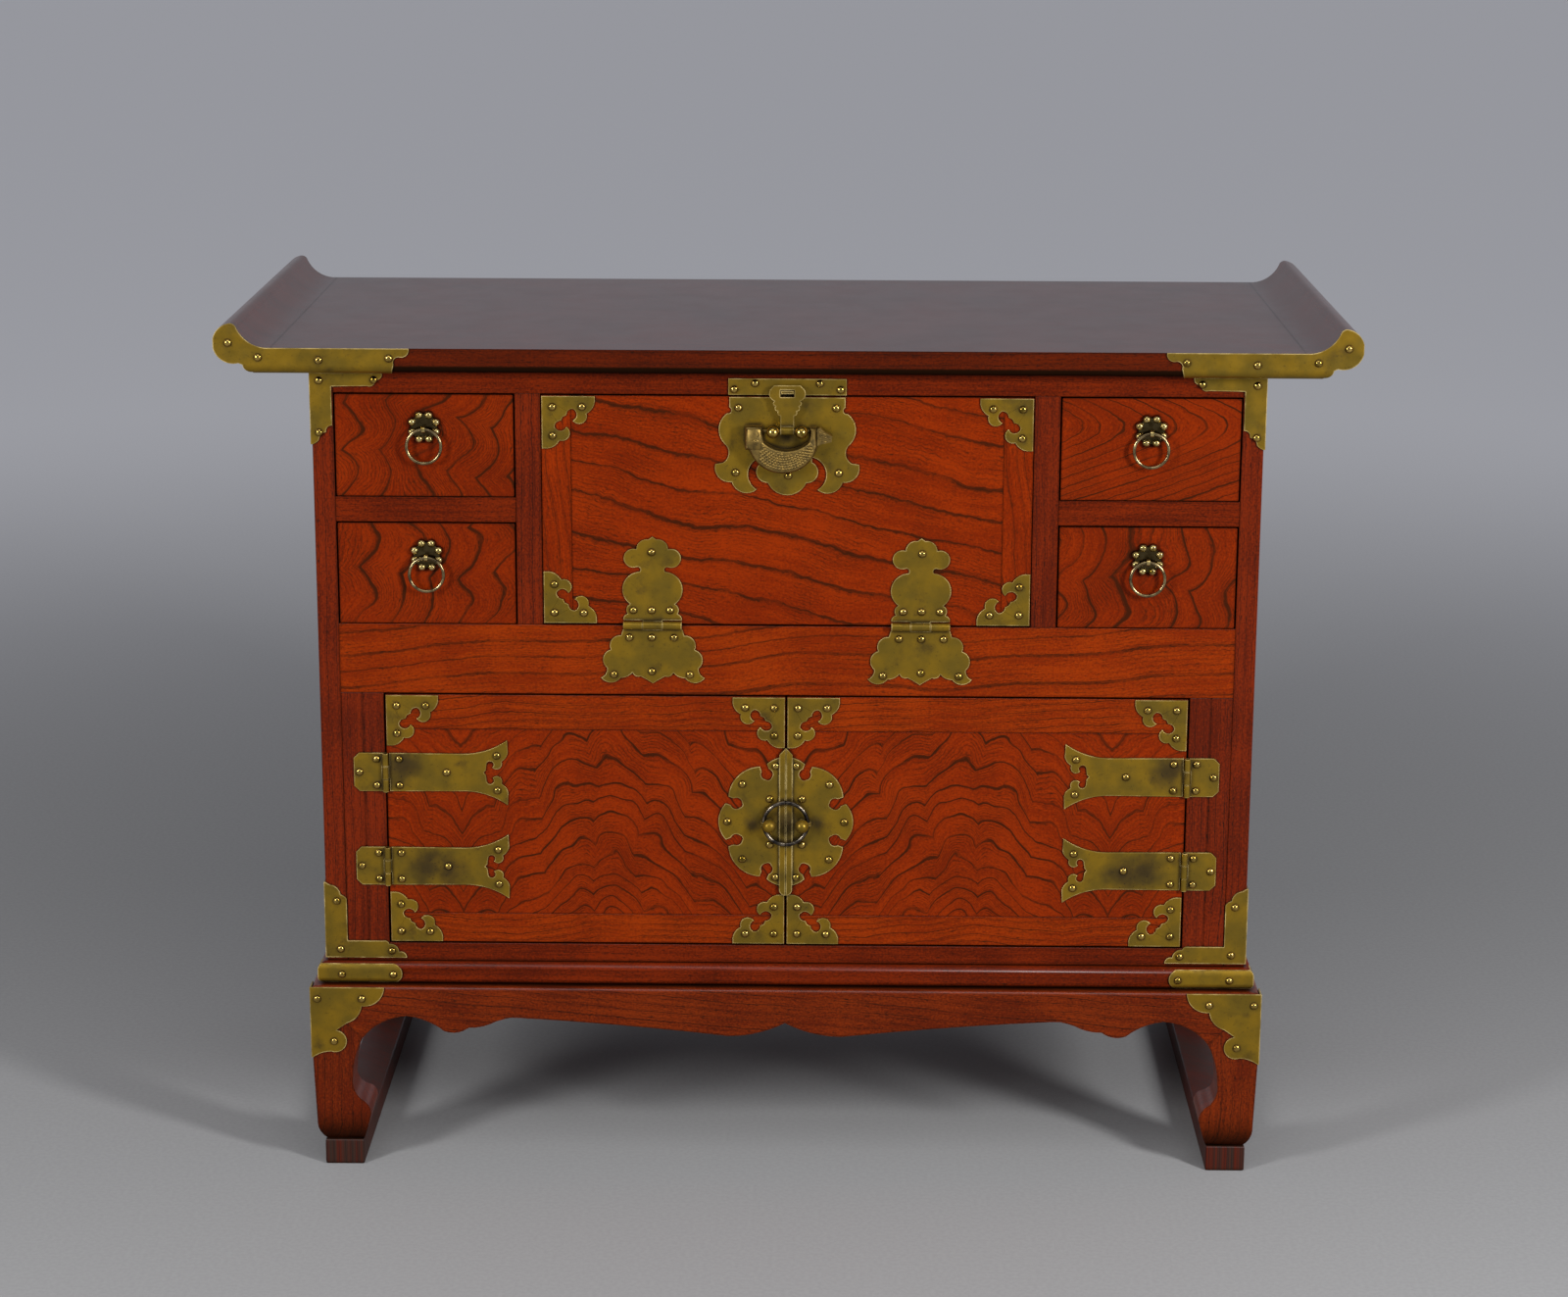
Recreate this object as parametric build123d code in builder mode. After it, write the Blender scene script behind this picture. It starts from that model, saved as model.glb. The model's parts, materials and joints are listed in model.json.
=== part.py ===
from build123d import *
import os
from math import acos, cos, degrees, radians, sin

# Low cabinet in the Korean style: scroll-ended top, four small drawers around a drop flap, a pair of
# doors below and a stand on two sled bars. Millimetres, +Z up, the front faces -Y, the floor is z = 0.

# Body and top
BODY_W = 840.0
BODY_D = 394.0
BODY_H = 548.0
TOP_T = 22.0
TOP_FRONT_OVERHANG = 20.0
TOP_REAR_OVERHANG = 18.0
TOP_EDGE_R = 8.0            # rounding under the front edge of the top
SCROLL_SPAN = 1003.0        # across both scroll tips
SCROLL_END_W = 50.0         # width of each scroll end piece
SCROLL_RISE = 21.5          # tip above the flat of the top
CAP_LENGTH = 171.0          # brass cap, measured from the scroll tip

# Stand
RUNNER_W = 36.0
RUNNER_H = 24.0
RUNNER_INSET = 6.0          # end of a sled bar behind the face of the stand
RUNNER_OUT = 8.0            # sled bar inside the outer face of a leg
LEG_H = 152.0
LEG_W = 52.0                # widest reach of a leg from the corner
STAND_STEP = 14.0           # stand outside the body
APRON_T = 20.0
APRON_H = 28.0
APRON_EDGE_R = 3.5          # rounding along the top of an apron
ARCH_W = 42.0               # arch of an apron beside its leg
SAG_X = 52.0                # half-width of the dip in the middle of the front apron
MITRE_REACH = 46.0          # leg and apron meet on a mitre this far in from the corner
MITRE_SHOULDER = 4.0
LEG_WAIST = 36.0
FOOT_OUT = 10.0             # foot drawn in from the leg's outer face
FOOT_IN = 44.0
MOULDING_H = 21.0
MOULDING_STEP = 7.0
MOULDING_W = 46.0
MOULDING_R = 6.0

# Front frame
POST_W = 19.0
POST_D = 36.0
TOP_RAIL_H = 20.5
MIDDLE_RAIL_H = 64.0
BOTTOM_RAIL_H = 17.2
LIP_T = 3.25                # lip of a rail that a flap or door closes against
STOP_LIP = 8.0
GROOVE_HALF = 1.5
DOOR_OPENING_H = 236.8
DRAWER_OPENING_W = 160.5
DRAWER_RAIL_H = 22.4
PARTITION_T = 22.5
STILE_W = 38.5
FRONT_T = 18.0              # flap, doors and stiles
GAP = 1.5                   # joint round a moving front

# Sides, back and inner boards
SIDE_RAIL_H = 40.0
SIDE_PANEL_T = 10.0
SIDE_INSET = 4.0
BACK_T = 9.0
BACK_INSET = 5.0
SHELF_T = 16.0
DRAWER_RUNNER = 12.0

# Drawers
DRAWER_FRONT_T = 16.0
DRAWER_WALL = 9.0
DRAWER_BOTTOM_T = 6.0
DRAWER_SIDE_DROP = 6.0      # sides lower than the front
SEAT = 0.3                  # running clearance under a drawer
FRONT_LIFT = 0.5            # front higher than the bottom of its box
DRAWER_BACK_GAP = 1.0

# Flap and door boards
CLEAT_W = 26.0
DOOR_TOP_RAIL_H = 32.0
DOOR_BOTTOM_RAIL_H = 27.5

# Brass
SHEET = 1.3
PIN_R = 1.2
PIN_FIT = 0.06              # radial clearance of every pin and bar
KNUCKLE_CLEAR = 0.6         # sheet cut back from the other leaf's knuckle
KNUCKLE_GAP = 0.3
SKIN_GAP = 0.35             # barrel clear of the wood behind it
FLAP_KNUCKLE_R = 3.6
FLAP_HINGE_HALF = 26.0
FLAP_HINGE_INSET = 97.5     # hinge from the end of the flap
DOOR_KNUCKLE_R = 2.7
DOOR_HINGE_HALF = 18.0
DOOR_HINGE_INSET = 72.5     # hinge from the top or bottom of the door
DOOR_LEAF_W = 29.0
LEAF_CLIP = 5.0
SIDE_LEAF_W = 16.0          # leaf of a corner plate folded round the side
BRACKET_MARGIN = 3.0
PLATE_MARGIN = 0.5
BAND_W = 69.5
BAND_MARGIN = 1.5

# Lock
BAR_R = 1.7
BAR_STANDOFF = 8.0          # padlock bar in front of the lock plate
BAR_DROP = 51.0             # padlock bar under the top of the body
STAPLE_X = 12.5
STAPLE_R = 3.4
STAPLE_L = 13.9
BALL_R = 5.6
BALL_BANDS = 8              # flat bands round a ball
ROLL_R = 3.6
HASP_T = 1.5
HASP_TAIL = 5.9
SLOT_W = 12.6
SLOT_H = 6.6
SLOT_RISE = 32.9            # hasp slot above the padlock bar
TONGUE_SLACK = 0.8
TONGUE_T = 2.6              # it stands in the upper part of the slot
LOCK_TOP_HALF = 52.0
LOCK_TOP_H = 14.5
FISH_T = 12.0
FISH_EDGE = 2.0
FISH_HEAD_X = 37.0
FISH_TAIL_X = 26.0
BAR_END = 33.0
BAR_END_GAP = 1.0
TAIL_T = 8.0
TAIL_GAP = 0.4

# Round door plate
ROUND_R = 61.0
LOBES = 8
LOBE_ANGLES = (17.5, 20.5)
SEAM = 0.3                  # brass kept off the seam between the doors
BAR_HALF_W = 5.8
BAR_H = 139.0
BAR_PROUD = 2.0
RING_POST_X = 14.6
RING_POST_L = 13.5
RING_POST_R = 2.4
RING_POST_BALL_R = 6.2
DOOR_RING_R = 19.8
DOOR_WIRE_R = 1.9
WIRE_SIDES = 10             # sides of a ring's wire
DOOR_RING_STANDOFF = 6.5

# Drawer pulls
ROSETTE_R = 11.5
PETAL_R = 3.8
PETAL_LIFT = 1.3
PETAL_BANDS = 3
PETALS = 8
PULL_PLATE_T = 2.0
PULL_RING_R = 15.2
PULL_WIRE_R = 1.5
PULL_CLEAR = 0.3            # ring in front of the petals
PULL_RISE = 17.0            # rosette above the middle of the drawer front
EYE_DROP = 1.5
EYE_W = 3.0
EYE_WALL = 1.4
EYE_FIT = 0.14              # the wire bends slightly inside its eye

# Levels and faces worked out from the sizes above
STAND_TOP = RUNNER_H + LEG_H
BODY_Z0 = STAND_TOP + MOULDING_H
BODY_Z1 = BODY_Z0 + BODY_H
TOP_Z1 = BODY_Z1 + TOP_T
TOP_D = BODY_D + TOP_FRONT_OVERHANG + TOP_REAR_OVERHANG
TOP_FRONT = -(TOP_D - SHEET) / 2
TOP_REAR = TOP_FRONT + TOP_D
FRONT = TOP_FRONT + TOP_FRONT_OVERHANG
REAR = FRONT + BODY_D
MID_Y = (FRONT + REAR) / 2
BACK_IN = REAR - BACK_INSET - BACK_T
RAIL_D = FRONT_T + GAP / 2 + LIP_T

BODY_HALF = BODY_W / 2
POST_IN = BODY_HALF - POST_W
PARTITION_OUT = POST_IN - DRAWER_OPENING_W
PARTITION_IN = PARTITION_OUT - PARTITION_T
STILE_IN = POST_IN - STILE_W
STAND_HALF = BODY_HALF + STAND_STEP
STAND_FRONT = FRONT - STAND_STEP

DOOR_FLOOR = BODY_Z0 + BOTTOM_RAIL_H
MIDDLE_Z0 = DOOR_FLOOR + DOOR_OPENING_H
FLAP_FLOOR = MIDDLE_Z0 + MIDDLE_RAIL_H
FLAP_CEILING = BODY_Z1 - TOP_RAIL_H
DRAWER_OPENING_H = (FLAP_CEILING - FLAP_FLOOR - DRAWER_RAIL_H) / 2
DRAWER_FLOORS = (FLAP_FLOOR, FLAP_FLOOR + DRAWER_OPENING_H + DRAWER_RAIL_H)

FLAP_HALF = PARTITION_IN - GAP / 2
FLAP_Z0 = FLAP_FLOOR + GAP
FLAP_Z1 = FLAP_CEILING - GAP
FLAP_HINGE_X = FLAP_HALF - FLAP_HINGE_INSET
FLAP_AXIS_Z = FLAP_FLOOR + GAP / 2
FLAP_PIN_OUT = FLAP_KNUCKLE_R + SKIN_GAP
DOOR_X1 = STILE_IN - GAP
DOOR_Z0 = DOOR_FLOOR + GAP
DOOR_Z1 = MIDDLE_Z0 - GAP
DOOR_MID_Z = (DOOR_Z0 + DOOR_Z1) / 2
DOOR_AXIS_X = STILE_IN - GAP / 3
DOOR_PIN_OUT = DOOR_KNUCKLE_R + SKIN_GAP
PULL_STANDOFF = PETAL_LIFT + PETAL_R + PULL_WIRE_R + PULL_CLEAR
BAR_Y = FRONT - SHEET - BAR_STANDOFF
BAR_Z = BODY_Z1 - BAR_DROP

# Outlines of the cut sheet brass. A plain pair is a straight stretch to that point, and a pair of pairs
# is an arc through the first to the second. On a hinge leaf the second value grows away from the pin.
CORNER_PLATE = [
    (0, 0), (47, 0), (47, 5), ((44.5, 11.5), (39.6, 15.6)), ((36.5, 24), (27.4, 21.8)),
    ((31, 16.8), (27.5, 11.4)), ((23.5, 13), (22, 17)), (18.6, 18.6), (17, 22), ((13, 23.5), (11.4, 27.5)),
    ((16.8, 31), (21.8, 27.4)), ((24, 36.5), (15.6, 39.6)), ((11.5, 44.5), (5, 47)), (0, 47),
]
FLAP_LEAF = [
    (26, 4.3), ((25.2, 8), (22, 10)), ((23.2, 15), (19.8, 19)), ((26.8, 32.5), (11.5, 48.5)),
    ((10.6, 51), (14, 53)), ((25.4, 60.5), (14, 69)), ((10.8, 76), (3.5, 78)), (0, 80.5),
]
FLAP_FIXED_LEAF = [
    (26.5, 4.3), (28.2, 10), ((36, 13), (37.5, 23)), ((44.4, 30.5), (41, 40)), ((42.3, 45.5), (46.5, 49)),
    ((38, 53.5), (29, 49)), ((22.5, 47.5), (18.3, 44)), ((15.5, 47.3), (11, 47.5)), ((6.5, 50), (0, 54)),
]
DOOR_STRAP = [
    (18, 3.4), (17.6, 68), ((20.8, 91), (30.5, 110)), (18.5, 110.6), ((13.5, 108.2), (10.4, 104.6)),
    ((3.4, 101.5), (5, 96.4)), ((10.7, 95), (8.2, 91.2)), (2, 90.4), (0, 88.4),
]
LOCK_PLATE = [
    (51, 0), (51, -9), ((49.3, -12), (53, -14.5)), ((60.3, -27), (54, -43)), ((51.8, -51.5), (57, -59)),
    (63.4, -60), ((60.5, -72), (49, -76)), ((40, -85.3), (27, -82.7)), ((34.6, -67), (22, -53.5)),
    (21.7, -58), ((27.3, -66), (17, -76.5)), ((11, -84), (0, -87.7)),
]
HASP = [
    (HASP_TAIL, 0), (HASP_TAIL, 13.2), ((8.4, 14.6), (7.6, 17.6)), ((10.8, 18.6), (9.6, 22)),
    ((12.4, 23.2), (10.8, 26.2)), ((15.9, 31.5), (13.2, 38.2)), (11.6, 40), (0, 40),
]
FISH = [
    (-FISH_HEAD_X, 4.5), (-21.5, 5), (-20.8, -9), ((0, -16.8), (19.5, -8.5)), (19.5, 3.8),
    (FISH_TAIL_X, 3.8), (FISH_TAIL_X, -13), ((17, -29.5), (-2, -37)), ((-24, -30), (-33, -16.5)),
    (-FISH_HEAD_X, -16),
]
FISH_TAIL = [(0, 2.5), (2.6, 3.8), (6.2, 0), (13.3, -4), (12.6, -9), (4, -11), (0, -12.5)]
TOP_BRACKET = [
    (0, 0), (63, 0), ((61.5, -5), (57, -6)), ((55.5, -10.5), (50, -11.5)), (18, -12), (18, -47),
    ((14.5, -48), (12.5, -53)), ((9, -54.5), (6, -60)), ((4, -62), (0, -64)),
]
BOTTOM_BRACKET = [
    (0, 0), (73, 0), ((71.5, 4), (66, 5.5)), ((63.5, 11), (57, 13)), ((56, 15), (52, 16)), (19, 16),
    (19, 56), ((17, 58.5), (13.5, 60)), ((10, 67), (4, 69.5)), (0, 72),
]
LEG_PLATE = [
    (0, 0), (67, 0), ((63, 11), (46, 18)), ((42.5, 27), (32, 34.5)), (22, 41.5),
    ((31.5, 52), (17, 62)), ((10, 63), (0, 68)),
]


def drawn(outline, plane):
    """Face bounded by an outline, on the given plane."""
    with BuildSketch(plane) as face:
        with BuildLine():
            here = outline[0]
            for step in outline[1:]:
                if isinstance(step[0], tuple):
                    ThreePointArc(here, *step)
                    here = step[1]
                else:
                    Line(here, step)
                    here = step
            Line(here, outline[0])
        make_face()
    return face.sketch


def both_sides(half):
    """Closed outline from its right half, which ends on the centre line."""
    ends = [step[1] if isinstance(step[0], tuple) else step for step in half]
    left = []
    for start, step in zip(ends[-2::-1], half[:0:-1]):
        end = (-start[0], start[1])
        left.append(((-step[0][0], step[0][1]), end) if isinstance(step[0], tuple) else end)
    return half + left


def flipped(outline, across, up):
    """The outline turned over across or up by a sign of -1."""
    def turn(point):
        return (across * point[0], up * point[1])

    return [tuple(map(turn, step)) if isinstance(step[0], tuple) else turn(step) for step in outline]


def front_plane(x=0.0, z=0.0, y=FRONT):
    """Plane facing forward: its x runs along X and its y up."""
    return Plane(origin=(x, y, z), x_dir=(1, 0, 0), z_dir=(0, -1, 0))


def sheet(outline, plane, thick=SHEET):
    """Flat piece of the given outline, standing on the plane."""
    with BuildPart() as piece:
        extrude(drawn(outline, plane), amount=thick)
    return piece.part


def board(x, y, z):
    """Rectangular board between the given pairs of limits."""
    with BuildPart() as piece:
        with Locations(((x[0] + x[1]) / 2, (y[0] + y[1]) / 2, (z[0] + z[1]) / 2)):
            Box(x[1] - x[0], y[1] - y[0], z[1] - z[0])
    return piece.part


def mirrored(piece):
    """The same piece on the other side of the cabinet."""
    with BuildPart() as other:
        mirror(piece, about=Plane.YZ)
    return other.part


def group(*pieces):
    """Several pieces of one kind, each still its own solid."""
    return Compound([solid for piece in pieces for solid in piece.solids()])


def pair(*pieces):
    """Pieces with their mirror images."""
    return group(*pieces, *[mirrored(piece) for piece in pieces])


def rod(start, direction, length, radius):
    """Round rod from a start point along a direction."""
    with BuildPart() as piece:
        with BuildSketch(Plane(origin=start, z_dir=direction)):
            Circle(radius)
        extrude(amount=length)
    return piece.part


def polar(radius, angle):
    """Point at a radius and an angle in degrees."""
    return (radius * cos(radians(angle)), radius * sin(radians(angle)))


FORWARD = (0, -1, 0)


def knob(foot, neck, ball, lift, bands):
    """Neck standing forward from a foot point, ended by a banded ball whose middle is lifted off the foot."""
    start = -degrees(acos(neck / ball))
    half = [(0, 0), (neck, 0)]
    for band in range(bands):
        across, ahead = polar(ball, start + band * (90 - start) / bands)
        half.append((across, lift + ahead))
    half.append((0, lift + ball))
    with BuildPart() as piece:
        revolve(drawn(half, Plane(foot, x_dir=(1, 0, 0), z_dir=(0, 0, -1))), axis=Axis(foot, FORWARD))
    return piece.part


nodes = {}

# Top: a flat panel between two scroll ends, all rounded under the front edge
TIP_X = SCROLL_SPAN / 2
TIP_Z = TOP_Z1 + SCROLL_RISE
JOINT_X = TIP_X - SCROLL_END_W
BEND = 1 - cos(radians(45))     # share of a quarter round's radius at its middle
scroll_curve = [
    (TIP_X - 33.5, BODY_Z1),
    ((TIP_X - 27.7, BODY_Z1 + 2.2), (TIP_X - 25.5, BODY_Z1 + 7)),
    (TIP_X - 22, BODY_Z1 + 8.5),
    ((TIP_X, TIP_Z - 13.5), (TIP_X - 14.5, TIP_Z)),
    ((TIP_X - 18.5, TIP_Z - 0.9), (TIP_X - 21, TIP_Z - 4.5)),
    ((TIP_X - 30.5, TOP_Z1 + 5.5), (TIP_X - 45.5, TOP_Z1)),
]


def rounded_section(front, low, radius, high):
    """Cross-section of the top seen from the side, with its lower front edge rounded."""
    return [
        (TOP_REAR, low), (TOP_REAR, high), (front, high), (front, low + radius),
        ((front + BEND * radius, low + BEND * radius), (front + radius, low)),
    ]


def top_length(outline):
    """Outline seen from the front, run from front to rear with the lower front edge rounded."""
    section = rounded_section(TOP_FRONT, BODY_Z1, TOP_EDGE_R, TIP_Z + TOP_T)
    with BuildPart() as piece:
        extrude(drawn(outline, front_plane(y=TOP_REAR)), amount=TOP_D)
        extrude(drawn(section, Plane.YZ.offset(-TIP_X)), amount=2 * TIP_X, mode=Mode.INTERSECT)
    return piece.part


nodes["top_panel"] = top_length(
    [(-JOINT_X, BODY_Z1), (JOINT_X, BODY_Z1), (JOINT_X, TOP_Z1), (-JOINT_X, TOP_Z1)]
)
nodes["scroll_ends"] = pair(top_length([(JOINT_X, BODY_Z1), *scroll_curve, (JOINT_X, TOP_Z1)]))

# Scroll caps: sheet bent under the front edge, with a cloud-cut inner end
CAP_X = TIP_X - CAP_LENGTH
cap_outline = [
    (CAP_X + 16, BODY_Z1 - SHEET),
    (TIP_X - 34.5, BODY_Z1 - SHEET),
    *scroll_curve,
    (CAP_X, TOP_Z1),
    ((CAP_X + 2, TOP_Z1 - 6), (CAP_X + 8, TOP_Z1 - 7.5)),
    ((CAP_X + 12.5, TOP_Z1 - 9), (CAP_X + 13.5, TOP_Z1 - 14)),
]
with BuildPart() as scroll_cap:
    extrude(drawn(cap_outline, front_plane(y=TOP_FRONT + TOP_EDGE_R)), amount=TOP_EDGE_R + SHEET)
    sheet_section = rounded_section(TOP_FRONT - SHEET, BODY_Z1 - SHEET, TOP_EDGE_R + SHEET, TIP_Z + TOP_T)
    extrude(drawn(sheet_section, Plane.YZ), amount=TIP_X, mode=Mode.INTERSECT)
    wood_section = rounded_section(TOP_FRONT, BODY_Z1, TOP_EDGE_R, TIP_Z + TOP_T)
    extrude(drawn(wood_section, Plane.YZ), amount=TIP_X, mode=Mode.SUBTRACT)
nodes["scroll_caps"] = pair(scroll_cap.part)

# Carcass frame
BODY_Z = (BODY_Z0, BODY_Z1)
POSTS_X = (POST_IN, BODY_HALF)
WIDTH_X = (-POST_IN, POST_IN)
BETWEEN_Y = (FRONT + POST_D, REAR - POST_D)
SIDE_TOP_Z = (BODY_Z1 - SIDE_RAIL_H, BODY_Z1)
SIDE_BOTTOM_Z = (BODY_Z0, BODY_Z0 + SIDE_RAIL_H)
PANEL_Z = (SIDE_BOTTOM_Z[1], SIDE_TOP_Z[0])
SIDE_PANEL_X = (BODY_HALF - SIDE_INSET - SIDE_PANEL_T, BODY_HALF - SIDE_INSET)
nodes["corner_posts"] = pair(
    board(POSTS_X, (FRONT, FRONT + POST_D), BODY_Z),
    board(POSTS_X, (REAR - POST_D, REAR), BODY_Z),
)
nodes["side_panels"] = pair(board(SIDE_PANEL_X, BETWEEN_Y, PANEL_Z))
nodes["back_panel"] = board(WIDTH_X, (BACK_IN, BACK_IN + BACK_T), PANEL_Z)
nodes["side_and_rear_rails"] = group(
    pair(board(POSTS_X, BETWEEN_Y, SIDE_TOP_Z), board(POSTS_X, BETWEEN_Y, SIDE_BOTTOM_Z)),
    board(WIDTH_X, (BACK_IN, REAR), SIDE_TOP_Z),
    board(WIDTH_X, (BACK_IN, REAR), SIDE_BOTTOM_Z),
)


def lipped_rail(low, high, lip_half):
    """Front rail across the body, with a lip below its back edge that a moving front closes against."""
    lip_y = FRONT + RAIL_D - LIP_T
    with BuildPart() as rail:
        add(board(WIDTH_X, (FRONT, FRONT + RAIL_D), (low, high)))
        add(board((-lip_half, lip_half), (lip_y, FRONT + RAIL_D), (low - STOP_LIP, low)))
    return rail.part


nodes["front_rails"] = group(
    lipped_rail(FLAP_CEILING, BODY_Z1, PARTITION_IN),
    board(WIDTH_X, (FRONT, FRONT + RAIL_D), (BODY_Z0, DOOR_FLOOR)),
)
nodes["middle_rail"] = lipped_rail(MIDDLE_Z0, FLAP_FLOOR, POST_IN)

# Stiles beside the doors, each with a shallow groove down its face
groove_x = POST_IN - STILE_W / 2
with BuildPart() as stile:
    add(board((STILE_IN, POST_IN), (FRONT, FRONT + FRONT_T), (DOOR_FLOOR, MIDDLE_Z0)))
    with BuildSketch(Plane.XY.offset(DOOR_FLOOR)):
        with BuildLine():
            Polyline(
                (groove_x - GROOVE_HALF, FRONT), (groove_x, FRONT + GROOVE_HALF),
                (groove_x + GROOVE_HALF, FRONT), close=True,
            )
        make_face()
    extrude(amount=DOOR_OPENING_H, mode=Mode.SUBTRACT)
nodes["door_stiles"] = pair(stile.part)

# Inner boards: partitions beside the flap, the shelf under the drawers and the floor
INSIDE_Y = (FRONT + RAIL_D, BACK_IN)
PARTITION_X = (PARTITION_IN, PARTITION_OUT)
with BuildPart() as partition:
    add(board(PARTITION_X, (FRONT, BACK_IN), (FLAP_FLOOR, FLAP_CEILING)))
    add(board(PARTITION_X, INSIDE_Y, (FLAP_CEILING, BODY_Z1)))
nodes["inner_boards"] = group(
    pair(partition.part),
    board(WIDTH_X, INSIDE_Y, (FLAP_FLOOR - SHELF_T, FLAP_FLOOR)),
    board(WIDTH_X, INSIDE_Y, (BODY_Z0, DOOR_FLOOR)),
)

# Rails between the drawers, with the runners behind them
UPPER_FLOOR = DRAWER_FLOORS[1]
RUNNER_Z = (UPPER_FLOOR - DRAWER_RUNNER, UPPER_FLOOR)
nodes["drawer_rails"] = pair(
    board((PARTITION_OUT, POST_IN), (FRONT, FRONT + RAIL_D), (UPPER_FLOOR - DRAWER_RAIL_H, UPPER_FLOOR)),
    board((PARTITION_OUT, PARTITION_OUT + DRAWER_RUNNER), INSIDE_Y, RUNNER_Z),
    board((POST_IN - DRAWER_RUNNER, POST_IN), INSIDE_Y, RUNNER_Z),
)


# Lengths that meet their neighbours on mitres: made centred on x = 0 with the face on y = 0, then placed
def mitre(half, width):
    """Plan of a length with both ends cut at 45 degrees."""
    return drawn([(-half, 0), (half, 0), (half - width, width), (width - half, width)], Plane.XY)


def placed(piece, x, y, turn):
    """The piece turned about the vertical and moved to a place."""
    with BuildPart() as copy:
        with Locations(Location((x, y, 0), (0, 0, turn))):
            add(piece)
    return copy.part


def moulding(half, grow):
    """Length of the base moulding with a rounded nose, thicker all round by grow."""
    width = MOULDING_W + grow
    nose = MOULDING_R + grow
    section = [
        (width, STAND_TOP), (width, BODY_Z0), (nose, BODY_Z0),
        ((BEND * nose, BODY_Z0 - BEND * nose), (0, BODY_Z0 - nose)), (0, STAND_TOP + nose),
        ((BEND * nose, STAND_TOP + BEND * nose), (nose, STAND_TOP)),
    ]
    with BuildPart() as length:
        extrude(drawn(section, Plane.YZ.offset(-half)), amount=2 * half)
        extrude(mitre(half, width), amount=BODY_Z0, mode=Mode.INTERSECT)
    return length.part


def moulding_set(grow):
    """Front, left and rear lengths of the base moulding."""
    half_w = BODY_HALF + MOULDING_STEP + grow
    half_d = BODY_D / 2 + MOULDING_STEP + grow
    return (
        placed(moulding(half_w, grow), 0, MID_Y - half_d, 0),
        placed(moulding(half_d, grow), -half_w, MID_Y, -90),
        placed(moulding(half_w, grow), 0, MID_Y + half_d, 180),
    )


front_length, left_length, rear_length = moulding_set(0.0)
nodes["base_moulding"] = group(front_length, left_length, mirrored(left_length), rear_length)

# Stand: aprons, and legs that show the same curve from the front and from the side
STAND_HALF_D = BODY_D / 2 + STAND_STEP
STAND_REAR = STAND_FRONT + 2 * STAND_HALF_D
ARCH_Z = STAND_TOP - APRON_H
MITRE_Z = STAND_TOP - MITRE_REACH - MITRE_SHOULDER


def apron(half, lower_edge):
    """Apron board whose lower edge ends on the centre line."""
    right_half = [
        (half, STAND_TOP), (half, MITRE_Z + MITRE_REACH), (half - MITRE_REACH, MITRE_Z),
        ((half - MITRE_REACH - 17, ARCH_Z - 7), (half - MITRE_REACH - ARCH_W, ARCH_Z)),
        *lower_edge,
    ]
    with BuildPart() as piece:
        extrude(drawn(both_sides(right_half), front_plane(y=APRON_T)), amount=APRON_T)
        extrude(mitre(half, APRON_T), amount=STAND_TOP, mode=Mode.INTERSECT)
    return piece.part


def eased(piece):
    """The apron with its upper front edge rounded."""
    with BuildPart() as copy:
        add(piece)
        upper = copy.edges().filter_by(Axis.X).sort_by(Axis.Z)[-2:]
        fillet(upper.sort_by(Axis.Y)[0], radius=APRON_EDGE_R)
    return copy.part


def from_corner(inset, drop):
    """Point of the front apron, measured in from the stand's corner and down from the arch."""
    return (STAND_HALF - inset, ARCH_Z - drop)


cloud_edge = [
    (from_corner(107, 5.5), from_corner(121.5, 14.6)),
    (from_corner(131, 16), from_corner(143.8, 11)),
    (from_corner(156, 9.8), from_corner(168, 5.2)),
    (from_corner(175, 2.8), from_corner(182, 1)),
    from_corner(189, 1),
    (((STAND_HALF - 189 + SAG_X) / 2, ARCH_Z - 7.5), (SAG_X, ARCH_Z - 17)),
    ((SAG_X / 2, ARCH_Z - 14), (0, ARCH_Z - 4)),
]
front_apron = apron(STAND_HALF, cloud_edge)
side_apron = apron(STAND_HALF_D, [(0, ARCH_Z)])
rear_apron = apron(STAND_HALF, [(0, ARCH_Z)])
left_apron = placed(eased(side_apron), -STAND_HALF, MID_Y, -90)
nodes["front_apron"] = placed(eased(front_apron), 0, STAND_FRONT, 0)
nodes["side_and_rear_aprons"] = group(
    left_apron, mirrored(left_apron), placed(eased(rear_apron), 0, STAND_REAR, 180)
)

LEG = [
    (0, STAND_TOP), (0, RUNNER_H + 81), (2, RUNNER_H + 21), ((4.5, RUNNER_H + 8), (FOOT_OUT, RUNNER_H)),
    (FOOT_IN, RUNNER_H), ((FOOT_IN + 4.5, RUNNER_H + 14), (LEG_W, RUNNER_H + 27)),
    ((LEG_W - 1.5, RUNNER_H + 34), (LEG_W - 6, RUNNER_H + 40)),
    ((LEG_WAIST + 1.5, RUNNER_H + 50), (LEG_WAIST, RUNNER_H + 62)),
    ((LEG_WAIST + 2, RUNNER_H + 80), (MITRE_REACH, MITRE_Z)), (MITRE_REACH, STAND_TOP),
]
leg_side = Plane(origin=(-STAND_HALF, STAND_FRONT, 0), x_dir=(0, 1, 0), z_dir=(1, 0, 0))
with BuildPart() as front_leg:
    extrude(drawn(LEG, front_plane(x=-STAND_HALF, y=STAND_FRONT + LEG_W)), amount=LEG_W)
    extrude(drawn(LEG, leg_side), amount=LEG_W, mode=Mode.INTERSECT)
    add(placed(front_apron, 0, STAND_FRONT, 0), mode=Mode.SUBTRACT)
    add(placed(side_apron, -STAND_HALF, MID_Y, -90), mode=Mode.SUBTRACT)
with BuildPart() as rear_leg:
    mirror(front_leg.part, about=Plane.XZ.offset(-MID_Y))
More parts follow.
